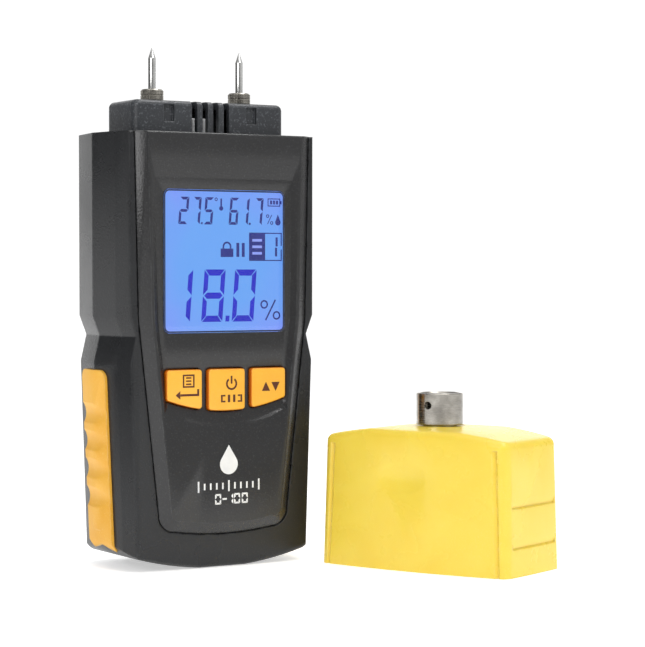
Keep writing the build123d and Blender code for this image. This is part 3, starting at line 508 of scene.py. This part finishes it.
# %% Ink finishes
def ink(name, tone, thin, glow_strength=0.0):
    """Printed ink with slightly uneven cover. Colours are hex codes."""
    tree, shader, finish = start_finish(name)
    grain = use_group(tree, moulded_grain, Scale=2600.0, Patches=180.0)
    cover = mix_colour(tree, grain.outputs["Clouds"], hex_colour(tone), hex_colour(thin))
    if glow_strength:
        tree.links.new(cover, shader.inputs["Emission Color"])
        shader.inputs["Emission Strength"].default_value = glow_strength
        shader.inputs["Specular IOR Level"].default_value = 0.0
        tree.links.new(mix_colour(tree, grain.outputs["Clouds"], hex_colour("#080A18"), hex_colour("#0A0C20")),
                       shader.inputs["Base Color"])
    else:
        tree.links.new(cover, shader.inputs["Base Color"])
    tree.links.new(spread(tree, grain.outputs["Flecks"], 0, 1, 0.45, 0.6), shader.inputs["Roughness"])
    return finish


digit_ink = ink("digit_ink", "#0A12C4", "#1018D0", 0.95)
fine_ink = ink("fine_ink", "#14207C", "#1C288A", 0.95)
pale_ink = ink("pale_ink", "#8FA2FF", "#99A9FF", 0.95)
border_ink = ink("border_ink", "#121A34", "#18223F")
key_ink = ink("key_ink", "#4A1C04", "#562406")
white_ink = ink("white_ink", "#ECEDED", "#DADBDC")
print("inks ready")

# %% [markdown]
# Inside the case are a green circuit board and cells with a printed jacket, and on the back is a grey label.
# The board shows copper tracks under its green mask. A cell has a copper-coloured band above and a bare end below.

# %% Board, cells and label
board_green = moulded("board_green", "#1E5B33", "#1A4F2C", "#3C7A4E", rough=(0.3, 0.4))
tree = board_green.node_tree
tracks = tree.nodes.new("ShaderNodeTexBrick")
tracks.inputs["Scale"].default_value = 160.0
tracks.inputs["Mortar Size"].default_value = 0.03
upright = tree.nodes.new("ShaderNodeMapping")
upright.inputs["Rotation"].default_value = (math.radians(90), 0, 0)
tree.links.new(object_place(tree), upright.inputs["Vector"])
tree.links.new(upright.outputs[0], tracks.inputs["Vector"])
overpaint(board_green, tracks.outputs["Fac"], "#3E8A50")

BAND_FROM, JACKET_FROM = 54 * MM, 20 * MM
cell_jacket = moulded("cell_jacket", "#2C3C46", "#32434E", "#5B6C77", rough=(0.25, 0.35), bump=0.03)
tree = cell_jacket.node_tree
for test, level, colour in (("GREATER_THAN", BAND_FROM, "#C9873B"), ("LESS_THAN", JACKET_FROM, "#B9BABA")):
    along = tree.nodes.new("ShaderNodeSeparateXYZ")
    tree.links.new(object_place(tree), along.inputs[0])
    overpaint(cell_jacket, maths(tree, test, along.outputs["Z"], level), colour)
label_grey = moulded("label_grey", "#9DA0A3", "#979A9D", "#B9BBBD", rough=(0.4, 0.5), bump=0.03)
print("finishes in all", len(bpy.data.materials))

# %% [markdown]
# Each visible moulding of the CAD model becomes a smooth skin. The mesh from CAD is loose triangles, so a copy is
# merged, flat areas are joined into whole faces, and the panel and keys get a small bevel round their edges. The
# CAD node stays hidden beneath it for collision. A fresh mesh could be drawn, but the copy keeps every size exact.


# %% Skins
def only(piece):
    """Deselects everything, then selects one object and makes it active."""
    bpy.ops.object.select_all(action="DESELECT")
    piece.select_set(True)
    bpy.context.view_layer.objects.active = piece


SAME_POINT = 0.002 * MM  # vertices nearer than this are one
SAME_PLANE, SMOOTH_BELOW, BEVEL_ABOVE = 0.4, 30, 38  # degrees between neighbouring faces


def skin(node, name, finish, body, bevel=0.0, segments=2):
    """A merged copy of a CAD node, with its edges rounded if asked, which stands for that node."""
    mesh = nodes[node].data.copy()
    mesh.materials.clear()
    mesh.materials.append(finish)
    piece = bpy.data.objects.new(name, mesh)
    bpy.context.scene.collection.objects.link(piece)
    only(piece)
    bpy.ops.object.mode_set(mode="EDIT")
    bpy.ops.mesh.select_all(action="SELECT")
    bpy.ops.mesh.customdata_custom_splitnormals_clear()
    bpy.ops.mesh.remove_doubles(threshold=SAME_POINT)
    bpy.ops.mesh.dissolve_limited(angle_limit=math.radians(SAME_PLANE))
    bpy.ops.object.mode_set(mode="OBJECT")
    if bevel:
        rounding = piece.modifiers.new("edge_rounding", "BEVEL")
        rounding.width, rounding.segments = bevel, segments
        rounding.limit_method, rounding.angle_limit = "ANGLE", math.radians(BEVEL_ABOVE)
        rounding.use_clamp_overlap, rounding.harden_normals = True, False
        bpy.ops.object.modifier_apply(modifier=rounding.name)
    bpy.ops.object.shade_smooth_by_angle(angle=math.radians(SMOOTH_BELOW))
    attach(piece, body)
    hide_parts(node)
    print(name, len(mesh.polygons), "faces")


skin("front_shell", "front_shell_skin", case_charcoal, "meter")
skin("rear_shell", "rear_shell_skin", case_charcoal, "meter")
skin("front_panel", "front_panel_skin", panel_charcoal, "meter", bevel=0.25 * MM)
skin("probe_head", "probe_head_skin", head_charcoal, "meter")
skin("battery_door", "battery_door_skin", case_charcoal, "door")
skin("left_grip", "left_grip_skin", grip_yellow, "meter")
skin("right_grip", "right_grip_skin", grip_yellow, "meter")
skin("cap_shell", "cap_shell_skin", cap_yellow, "cap")
for key in ("enter", "power", "set"):
    skin(key + "_button", key + "_button_skin", key_amber, key + "_button",
         bevel=0.45 * MM, segments=3)

# %% [markdown]
# The knurl of the two collar nuts is rolled on by a wheel that leaves rows of small teeth, which fingers can grip.
# The wall of a tube is divided into two rows of faces, and each face is inset and pushed out, which gives one
# tooth per face. The open rims are then drawn in over the ends and down the bore.


# %% Knurled collar nuts
TEETH_ROUND = 32
TOOTH = 0.2 * MM  # how far a tooth stands out
RIM = 0.3 * MM  # the plain part of the wall above and below the teeth
RIM_SLACK = 0.02 * MM  # how exactly the open rim is found by its height
MOUTH_R, BORE_R, POST_R, FOOT_R = 1.9 * MM, 1.8 * MM, 2.35 * MM, 2.45 * MM
SHOULDER = 1.2 * MM  # how far below the top the bore widens for the post


def knurled_nut(name, node, finish, body):
    """A collar nut with a knurled barrel, bored for its post and needle."""
    low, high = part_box(node)
    x, y = (low.x + high.x) / 2, (low.y + high.y) / 2
    radius, floor, top = (high.x - low.x) / 2, low.z, high.z
    bpy.ops.object.select_all(action="DESELECT")
    bpy.ops.mesh.primitive_cylinder_add(vertices=TEETH_ROUND, radius=radius - TOOTH, depth=top - floor - 2 * RIM,
                                        end_fill_type="NOTHING", location=(x, y, (floor + top) / 2))
    nut = bpy.context.active_object
    nut.name = name
    bpy.ops.object.transform_apply(location=True, rotation=True, scale=True)
    mesh = nut.data
    bpy.ops.object.mode_set(mode="EDIT")
    bpy.ops.mesh.select_all(action="DESELECT")
    bpy.ops.mesh.select_mode(type="EDGE")
    bpy.ops.object.mode_set(mode="OBJECT")
    for edge in mesh.edges:
        a, b = (mesh.vertices[i].co for i in edge.vertices)
        edge.select = abs(a.z - b.z) > 1 * MM
    bpy.ops.object.mode_set(mode="EDIT")
    bpy.ops.mesh.subdivide(number_cuts=1)
    bpy.ops.mesh.select_mode(type="FACE")
    bpy.ops.mesh.select_all(action="SELECT")
    bpy.ops.mesh.inset(thickness=0.15 * MM, depth=TOOTH, use_individual=True)

    def draw_in(end_z, rings):
        """Extrudes the open rim at one end through a list of (radius, height)."""
        bpy.ops.mesh.select_mode(type="VERT")
        bpy.ops.mesh.select_all(action="DESELECT")
        bpy.ops.object.mode_set(mode="OBJECT")
        for vertex in mesh.vertices:
            vertex.select = abs(vertex.co.z - end_z) < RIM_SLACK
        bpy.ops.object.mode_set(mode="EDIT")
        bpy.ops.mesh.select_mode(type="EDGE")
        reach, height = radius - TOOTH, end_z
        for new_reach, new_height in rings:
            bpy.ops.mesh.extrude_edges_move()
            bpy.ops.transform.resize(value=(new_reach / reach, new_reach / reach, 1),
                                     center_override=(x, y, new_height))
            bpy.ops.transform.translate(value=(0, 0, new_height - height))
            reach, height = new_reach, new_height

    draw_in(top - RIM, [(radius - TOOTH, top - 0.25 * MM), (radius - 0.45 * MM, top), (MOUTH_R, top),
                        (BORE_R, top - 0.1 * MM), (BORE_R, top - SHOULDER), (POST_R, top - SHOULDER)])
    draw_in(floor + RIM, [(radius - TOOTH, floor + 0.25 * MM), (radius - 0.45 * MM, floor), (FOOT_R, floor),
                          (POST_R, floor + 0.1 * MM), (POST_R, top - SHOULDER)])
    bpy.ops.mesh.select_all(action="SELECT")
    bpy.ops.mesh.remove_doubles(threshold=1e-6)
    bpy.ops.mesh.normals_make_consistent(inside=False)
    bpy.ops.object.mode_set(mode="OBJECT")
    bpy.ops.object.shade_smooth_by_angle(angle=math.radians(28))
    mesh.materials.clear()
    mesh.materials.append(finish)
    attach(nut, body)
    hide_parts(node)
    print(name, len(mesh.polygons), "faces")


knurled_nut("left_collar", "left_pin_nut", nut_nickel, "left_pin_nut")
knurled_nut("right_collar", "right_pin_nut", nut_nickel, "right_pin_nut")

# %% [markdown]
# The needles are ground steel: a thinner foot that stands in the post, a straight shank, and a short sharp cone.
# Such a round part is drawn as half of its outline. The outline is walked out from one point by extruding it, then
# spun once round the axis.


# %% Needles
STEPS_ROUND = 32
SHANK_FROM = 146.7 * MM
CONE = 3.25 * MM
TIP_INSIDE = 0.005 * MM  # how far the tip stays below the top of the CAD model's box


def turned_part(name, x, y, outline, finish, body, node):
    """Spins an outline, a list of (radius, height) from axis to axis, about a vertical axis."""
    bpy.ops.object.select_all(action="DESELECT")
    bpy.ops.mesh.primitive_plane_add(size=1 * MM, location=(x + outline[0][0], y, outline[0][1]))
    piece = bpy.context.active_object
    piece.name = name
    bpy.ops.object.transform_apply(location=True, rotation=True, scale=True)
    bpy.ops.object.mode_set(mode="EDIT")
    bpy.ops.mesh.select_mode(type="VERT")
    bpy.ops.mesh.select_all(action="SELECT")
    bpy.ops.mesh.merge(type="CENTER")
    for (r0, z0), (r1, z1) in zip(outline, outline[1:]):
        bpy.ops.mesh.extrude_vertices_move(TRANSFORM_OT_translate={"value": (r1 - r0, 0, z1 - z0)})
    bpy.ops.mesh.select_all(action="SELECT")
    bpy.ops.mesh.spin(steps=STEPS_ROUND, angle=math.radians(360), center=(x, y, 0), axis=(0, 0, 1))
    bpy.ops.mesh.select_all(action="SELECT")
    bpy.ops.mesh.remove_doubles(threshold=SAME_POINT)
    bpy.ops.mesh.normals_make_consistent(inside=False)
    bpy.ops.object.mode_set(mode="OBJECT")
    bpy.ops.object.shade_smooth_by_angle(angle=math.radians(24))
    piece.data.materials.append(finish)
    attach(piece, body)
    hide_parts(node)
    print(name, len(piece.data.polygons), "faces")


for side in ("left", "right"):
    low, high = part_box(side + "_needle")
    x, y = (low.x + high.x) / 2, (low.y + high.y) / 2
    r, tip = (high.x - low.x) / 2, high.z - TIP_INSIDE
    foot_r = r - 0.25 * MM
    outline = [(0, low.z), (r - 0.4 * MM, low.z), (foot_r, low.z + 0.1 * MM), (foot_r, SHANK_FROM - 0.1 * MM),
               (r, SHANK_FROM), (r, tip - CONE), (r - 0.06 * MM, tip - CONE + 0.15 * MM),
               (0.2 * MM, tip - 0.25 * MM), (0.09 * MM, tip - 0.06 * MM), (0, tip)]
    turned_part(side + "_needle_ground", x, y, outline, needle_steel, side + "_needle",
                side + "_needle")

# %% [markdown]
# Marks on the display and keys are thin flat shapes. They are drawn lying down, x to the right and y up, from
# bars and rings, then joined, given the thickness of an ink, stood upright and moved to the face they sit on.


# %% Flat marks
def pick_vertices(piece, test):
    """Goes into edit mode with only the vertices selected whose place passes a test."""
    only(piece)
    bpy.ops.object.mode_set(mode="EDIT")
    bpy.ops.mesh.select_mode(type="VERT")
    bpy.ops.mesh.select_all(action="DESELECT")
    bpy.ops.object.mode_set(mode="OBJECT")
    for vertex in piece.data.vertices:
        vertex.select = test(vertex.co)
    bpy.ops.object.mode_set(mode="EDIT")


def bar(x, y, width, height, turn=0.0, taper=1.0):
    """A flat bar; taper shortens its lower edge, for the mitred segments of a digit."""
    bpy.ops.object.select_all(action="DESELECT")
    bpy.ops.mesh.primitive_plane_add(size=1.0)
    piece = bpy.context.active_object
    piece.scale = (width * MM, height * MM, 1)
    bpy.ops.object.transform_apply(location=True, rotation=True, scale=True)
    if taper != 1.0:
        pick_vertices(piece, lambda co: co.y < 0)
        bpy.ops.transform.resize(value=(taper, 1, 1), center_override=(0, 0, 0))
        bpy.ops.object.mode_set(mode="OBJECT")
    piece.rotation_euler = (0, 0, math.radians(turn))
    piece.location = (x * MM, y * MM, 0)
    bpy.ops.object.transform_apply(location=True, rotation=True, scale=True)
    return piece


def ring(x, y, outer, inner, gap=0.0, turn=90.0, points=40):
    """A flat ring, with a gap of some degrees centred on a direction."""
    bpy.ops.object.select_all(action="DESELECT")
    bpy.ops.mesh.primitive_circle_add(vertices=points, radius=outer * MM, fill_type="NOTHING")
    piece = bpy.context.active_object
    bpy.ops.object.mode_set(mode="EDIT")
    bpy.ops.mesh.select_all(action="SELECT")
    bpy.ops.mesh.extrude_edges_move()
    bpy.ops.transform.resize(value=(inner / outer, inner / outer, 1), center_override=(0, 0, 0))
    bpy.ops.mesh.select_all(action="SELECT")
    bpy.ops.mesh.normals_make_consistent(inside=False)
    bpy.ops.mesh.select_mode(type="FACE")
    bpy.ops.mesh.select_all(action="DESELECT")
    bpy.ops.object.mode_set(mode="OBJECT")
    if gap:
        for face in piece.data.polygons:
            away = math.degrees(math.atan2(face.center.y, face.center.x)) - turn
            face.select = abs((away + 180) % 360 - 180) < gap / 2
        bpy.ops.object.mode_set(mode="EDIT")
        bpy.ops.mesh.delete(type="FACE")
        bpy.ops.object.mode_set(mode="OBJECT")
    piece.location = (x * MM, y * MM, 0)
    bpy.ops.object.transform_apply(location=True, rotation=True, scale=True)
    return piece


def disc(x, y, width, points=24):
    """A flat filled disc."""
    bpy.ops.object.select_all(action="DESELECT")
    bpy.ops.mesh.primitive_circle_add(vertices=points, radius=0.5, fill_type="NGON")
    piece = bpy.context.active_object
    piece.scale = (width * MM, width * MM, 1)
    piece.location = (x * MM, y * MM, 0)
    bpy.ops.object.transform_apply(location=True, rotation=True, scale=True)
    return piece


def drop(x, y, width, height):
    """A flat water drop in one piece: the top of a disc is drawn together into a point."""
    piece = disc(0, 0, width, 40)
    radius = width / 2 * MM
    pick_vertices(piece, lambda co: co.y > 0.7 * radius)
    bpy.ops.mesh.merge(type="CENTER")
    bpy.ops.object.mode_set(mode="OBJECT")
    highest = max(vertex.co.y for vertex in piece.data.vertices)
    pick_vertices(piece, lambda co: co.y > highest - 0.001 * MM)
    bpy.ops.transform.translate(value=(0, height * MM - radius - highest, 0))
    bpy.ops.object.mode_set(mode="OBJECT")
    piece.location = (x * MM, y * MM, 0)
    bpy.ops.object.transform_apply(location=True, rotation=True, scale=True)
    return piece


def printed(name, shapes, face_y, finish, body, thickness=0.03, slant=0.0):
    """Joins flat shapes, gives them thickness, and stands them on a face that looks to the front."""
    bpy.ops.object.select_all(action="DESELECT")
    for shape in shapes:
        shape.select_set(True)
    bpy.context.view_layer.objects.active = shapes[0]
    bpy.ops.object.join()
    piece = bpy.context.active_object
    piece.name = name
    if slant:
        piece.data.transform(Matrix(((1, slant, 0, 0), (0, 1, 0, 0), (0, 0, 1, 0), (0, 0, 0, 1))))
    for face in piece.data.polygons:
        if face.normal.z < 0:
            face.flip()
    film = piece.modifiers.new("film", "SOLIDIFY")
    film.thickness, film.offset = thickness * MM, 1.0
    bpy.ops.object.modifier_apply(modifier=film.name)
    piece.rotation_euler = (math.radians(90), 0, 0)
    piece.location = (0, face_y, 0)
    bpy.ops.object.transform_apply(location=True, rotation=True, scale=True)
    piece.data.materials.clear()
    piece.data.materials.append(finish)
    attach(piece, body)
    print(name, len(piece.data.polygons), "faces")


print("mark helpers ready")

# %% [markdown]
# A digit is made of seven segments. Six are bars with mitred ends round a box, and the seventh crosses the middle.
# A lit digit is simply the list of its segments: a at the top, then clockwise b to f, and g in the middle.

# %% Segment digits
LIT = {"0": "abcdef", "1": "bc", "2": "abdeg", "5": "acdfg", "6": "acdefg", "7": "abc", "8": "abcdefg"}


def digit(number, x, y, width, height, stroke, gap, upright=None):
    """The lit segments of one digit; x, y is its lower left corner."""
    wide = upright or stroke
    shapes = []
    half = height / 2
    across_taper = 1 - 2 * wide / (width - 2 * gap)
    tall = half - gap - 0.06 * stroke
    for segment in LIT[number]:
        if segment in "ad":
            level = y + height - stroke / 2 if segment == "a" else y + stroke / 2
            shapes.append(bar(x + width / 2, level, width - 2 * gap, stroke, 0 if segment == "a" else 180,
                              max(0.1, across_taper)))
        elif segment == "g":
            long_edge = width - 2 * gap - 0.2 * wide
            short_edge = 1 - stroke / long_edge
            shapes += [bar(x + width / 2, y + half + stroke / 4, long_edge, stroke / 2, 180, short_edge),
                       bar(x + width / 2, y + half - stroke / 4, long_edge, stroke / 2, 0, short_edge)]
        else:
            side = x + width - wide / 2 if segment in "bc" else x + wide / 2
            level = y + half + half / 2 if segment in "bf" else y + half / 2
            shapes.append(bar(side, level, tall, wide, -90 if segment in "bc" else 90,
                              max(0.3, 1 - 1.7 * stroke / tall)))
    return shapes


lcd_face = lcd_low.y - 0.01 * MM
# The slant moves a mark sideways by its height times the slant. So each x is the place of the mark's foot, less
# what the slant adds there.
MAIN_LINE, MAIN_SLANT = 75.1, 0.078
main_shift = MAIN_LINE * MAIN_SLANT
main_size = dict(height=16.0, stroke=1.9, gap=0.3)
main_reading = (digit("1", -16.1 - main_shift, MAIN_LINE, 4.6, upright=1.55, **main_size)
                + digit("8", -7.6 - main_shift, MAIN_LINE, 7.3, upright=1.5, **main_size)
                + [bar(1.45 - main_shift, 76.05, 1.35, 1.8)]
                + digit("0", 3.0 - main_shift, MAIN_LINE, 7.6, upright=1.5, **main_size))
printed("main_reading", main_reading, lcd_face, digit_ink, "meter", slant=MAIN_SLANT)

UPPER_LINE, UPPER_SLANT = 104.8, 0.09
upper_shift = UPPER_LINE * UPPER_SLANT
upper_readings = []
for number, x, width in (("2", -15.4, 3.1), ("7", -10.75, 2.7), ("5", -6.75, 3.0), ("6", 1.95, 3.1),
                         ("1", 5.8, 2.9), ("7", 10.8, 2.8)):
    upper_readings += digit(number, x - upper_shift, UPPER_LINE, width, 8.3, 0.85, 0.16, upright=0.8)
upper_readings += [bar(-7.35 - upper_shift, 105.15, 0.6, 0.6), bar(9.35 - upper_shift, 105.15, 0.65, 0.65)]
printed("upper_readings", upper_readings, lcd_face, fine_ink, "meter", slant=UPPER_SLANT)

# %% [markdown]
# Small signs round the readings tell their units and the state of the meter: a degree ring with a thermometer,
# a percent sign, a battery, a drop for humidity, a padlock and two bars for the held reading, and a numbered box.
# They are plain pictograms, so no word is needed.

# %% Display signs
large_percent = [ring(14.5, 80.3, 1.35, 0.85), ring(18.9, 76.85, 1.35, 0.85), bar(16.75, 78.55, 0.5, 7.2, -29)]
degree = [ring(-2.35, 112.5, 0.55, 0.28, points=20)]
thermometer = [bar(-0.6, 111.6, 0.55, 2.3), disc(-0.6, 109.75, 1.4)]
battery = [bar(18.0, level, 4.5, 0.3) for level in (112.95, 110.75)]
battery += [bar(end, 111.85, 0.3, 1.88) for end in (15.9, 20.1)] + [bar(20.5, 111.85, 0.45, 1.0)]
battery += [bar(charge, 111.85, 0.75, 1.2) for charge in (17.0, 18.05, 19.1)]
small_percent = [ring(15.75, 107.6, 0.55, 0.28, points=20), ring(17.2, 105.5, 0.55, 0.28, points=20),
                 bar(16.45, 106.55, 0.26, 3.2, -28)]
humidity = [drop(19.4, 105.7, 1.9, 3.4)]
numbered_box = [bar(15.0, 102.3, 11.6, 0.34), bar(15.0, 93.9, 11.6, 0.34), bar(20.6, 100.28, 0.36, 3.7),
                bar(20.6, 95.7, 0.36, 3.2), bar(12.0, 98.1, 5.7, 8.04)]
numbered_box += [bar(18.95, 99.65, 0.75, 2.8), bar(18.75, 96.5, 0.75, 2.7)]
padlock = [bar(1.4, 96.2, 4.4, 2.6), bar(0.15, 97.8, 0.55, 0.56), bar(2.65, 97.8, 0.55, 0.56),
           ring(1.4, 98.1, 1.525, 0.975, 180, -90)]
hold_bars = [bar(x, 97.1, 1.0, 4.3) for x in (5.2, 7.1)]
signs = (large_percent + degree + thermometer + battery + small_percent + humidity + numbered_box + padlock
         + hold_bars)
printed("display_signs", signs, lcd_face, fine_ink, "meter")
material_mark = [bar(12.0, level, 3.4, 0.8) for level in (100.1, 98.1, 96.1)]
printed("material_mark", material_mark, lcd_face - 0.032 * MM, pale_ink, "meter", thickness=0.01)

# %% [markdown]
# A thin dark line is printed round the lens, which hides the joint between display and panel. A plane gets
# rounded corners, its inside is cut away, and what is left is the line.

# %% Lens border
BORDER_WIDTH, BORDER_HEIGHT = 41.7 * MM, 43.3 * MM
BORDER_CORNER, BORDER_LINE = 1.8 * MM, 0.45 * MM
window_low, window_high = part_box("display_window")
bpy.ops.object.select_all(action="DESELECT")
bpy.ops.mesh.primitive_plane_add(size=1.0)
frame_line = bpy.context.active_object
frame_line.scale = (BORDER_WIDTH, BORDER_HEIGHT, 1)
bpy.ops.object.transform_apply(location=True, rotation=True, scale=True)
bpy.ops.object.mode_set(mode="EDIT")
bpy.ops.mesh.select_all(action="SELECT")
bpy.ops.mesh.bevel(offset=BORDER_CORNER, segments=6, affect="VERTICES")
bpy.ops.mesh.select_mode(type="FACE")
bpy.ops.mesh.select_all(action="SELECT")
bpy.ops.mesh.inset(thickness=BORDER_LINE, depth=0)
bpy.ops.mesh.delete(type="FACE")
bpy.ops.object.mode_set(mode="OBJECT")
frame_line.location = (0, (window_low.z + window_high.z) / 2, 0)
bpy.ops.object.transform_apply(location=True, rotation=True, scale=True)
printed("lens_border", [frame_line], window_low.y - 0.01 * MM, border_ink, "meter", thickness=0.02)

# %% [markdown]
# The keys carry brown prints, set a little right of the middle as on the real keys. A memory box over a return
# arrow enters a value, the power sign sits over two bars in brackets for a held reading, and a pair of arrows sets
# a value up or down.

# %% Key marks
POINTED = 0.05  # the taper that makes a bar into an arrow head
key_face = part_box("power_button")[0].y
memory_box = [bar(-13.3, level, 4.0, 0.5) for level in (59.1, 55.6)]
memory_box += [bar(x, 57.35, 0.5, 3.0) for x in (-15.05, -11.55)]
memory_box += [bar(-13.3, level, 1.8, 0.45) for level in (58.3, 57.35, 56.4)]
return_arrow = [bar(-16.9, 53.1, 2.6, 1.5, 270, POINTED), bar(-12.9, 53.1, 6.4, 0.7), bar(-10.05, 54.15, 0.7, 1.4)]
power_sign = [ring(1.5, 56.2, 1.95, 1.35, 66, 90), bar(1.5, 57.4, 0.6, 2.4)]
held_bars = [bar(x, 51.7, 0.8, 2.3) for x in (0.6, 2.4)]
for back_x, arm_x in ((-1.9, -1.1), (4.9, 4.1)):
    held_bars += [bar(back_x, 51.7, 0.6, 2.3), bar(arm_x, 52.6, 0.9, 0.5), bar(arm_x, 50.8, 0.9, 0.5)]
up_down_arrows = [bar(13.6, 55.0, 2.9, 2.7, 180, POINTED), bar(17.0, 55.0, 2.9, 2.7, 0, POINTED)]
for name, shapes in (("enter", memory_box + return_arrow), ("power", power_sign + held_bars),
                     ("set", up_down_arrows)):
    printed(name + "_key_mark", shapes, key_face, key_ink, name + "_button", thickness=0.02)

# %% [markdown]
# The lower panel carries one white print. A plain water drop over a short scale, with its range from 0 to 100
# below it, says what the meter measures.

# %% Panel mark
PANEL_MIDDLE, TICK_STEP = 0.6, 2.1
water_mark = drop(PANEL_MIDDLE, 31.6, 6.2, 9.0)
scale_marks = [bar(PANEL_MIDDLE + TICK_STEP * n, 25.0, 0.55, 3.4 if n % 5 == 0 else 2.0) for n in range(-5, 6)]
scale_numbers = [bar(-0.9, 21.0, 1.5, 0.55)]
for number, x in (("0", -4.2), ("1", 0.0), ("0", 2.4), ("0", 5.1)):
    scale_numbers += digit(number, x, 19.4, 2.1, 3.2, 0.55, 0.1)
printed("panel_mark", [water_mark] + scale_marks + scale_numbers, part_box("front_panel")[0].y, white_ink, "meter",
        thickness=0.02)

# %% [markdown]
# The parts whose CAD shape is already right keep it and get their finish: the lens, the display stack, the
# circuit board, the cells and their contacts, the posts, and the socket in the cap.

# %% Finishes for the remaining nodes
finish_of = {
    "display_window": window_clear, "lcd_glass": lcd_blue, "lcd_backlight": diffuser_white,
    "lcd_frame": frame_black, "contact_strips": strip_rubber, "main_board": board_green,
    "board_screws": screw_steel, "board_chips": chip_black, "buzzer": chip_black, "keypad_mat": mat_silicone,
    "sensor_board": board_black, "humidity_sensor": sensor_white, "left_pin_post": post_nickel,
    "right_pin_post": post_nickel, "left_pin_tab": tab_brass, "right_pin_tab": tab_brass,
    "battery_tray": tray_black, "left_battery": cell_jacket, "middle_battery": cell_jacket,
    "right_battery": cell_jacket, "battery_plates": contact_nickel, "battery_springs": contact_nickel,
    "door_hinge_pin": contact_nickel, "rear_label": label_grey, "case_screws": screw_steel,
    "contact_carrier": carrier_black, "carrier_screws": screw_steel, "left_contact_tube": tab_brass,
    "right_contact_tube": tab_brass, "connector_body": connector_metal, "connector_insulator": insulator_white,
    "connector_pin": pin_gold, "connector_nut": connector_metal, "bayonet_sleeve": connector_metal,
}
for name, finish in finish_of.items():
    nodes[name].data.materials.clear()
    nodes[name].data.materials.append(finish)
print("finished", len(finish_of), "CAD nodes")

# %% [markdown]
# Last, the box of the finished looks is compared with the box of the CAD model, and how much it has grown is
# printed.

# %% Sizes and finish
visual_box = [list(corner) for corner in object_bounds()]
visual_size, cad_size = ([high - low for low, high in zip(*box)] for box in (visual_box, cad_box))
print("grown by", [round(looks - model, 5) for looks, model in zip(visual_size, cad_size)])
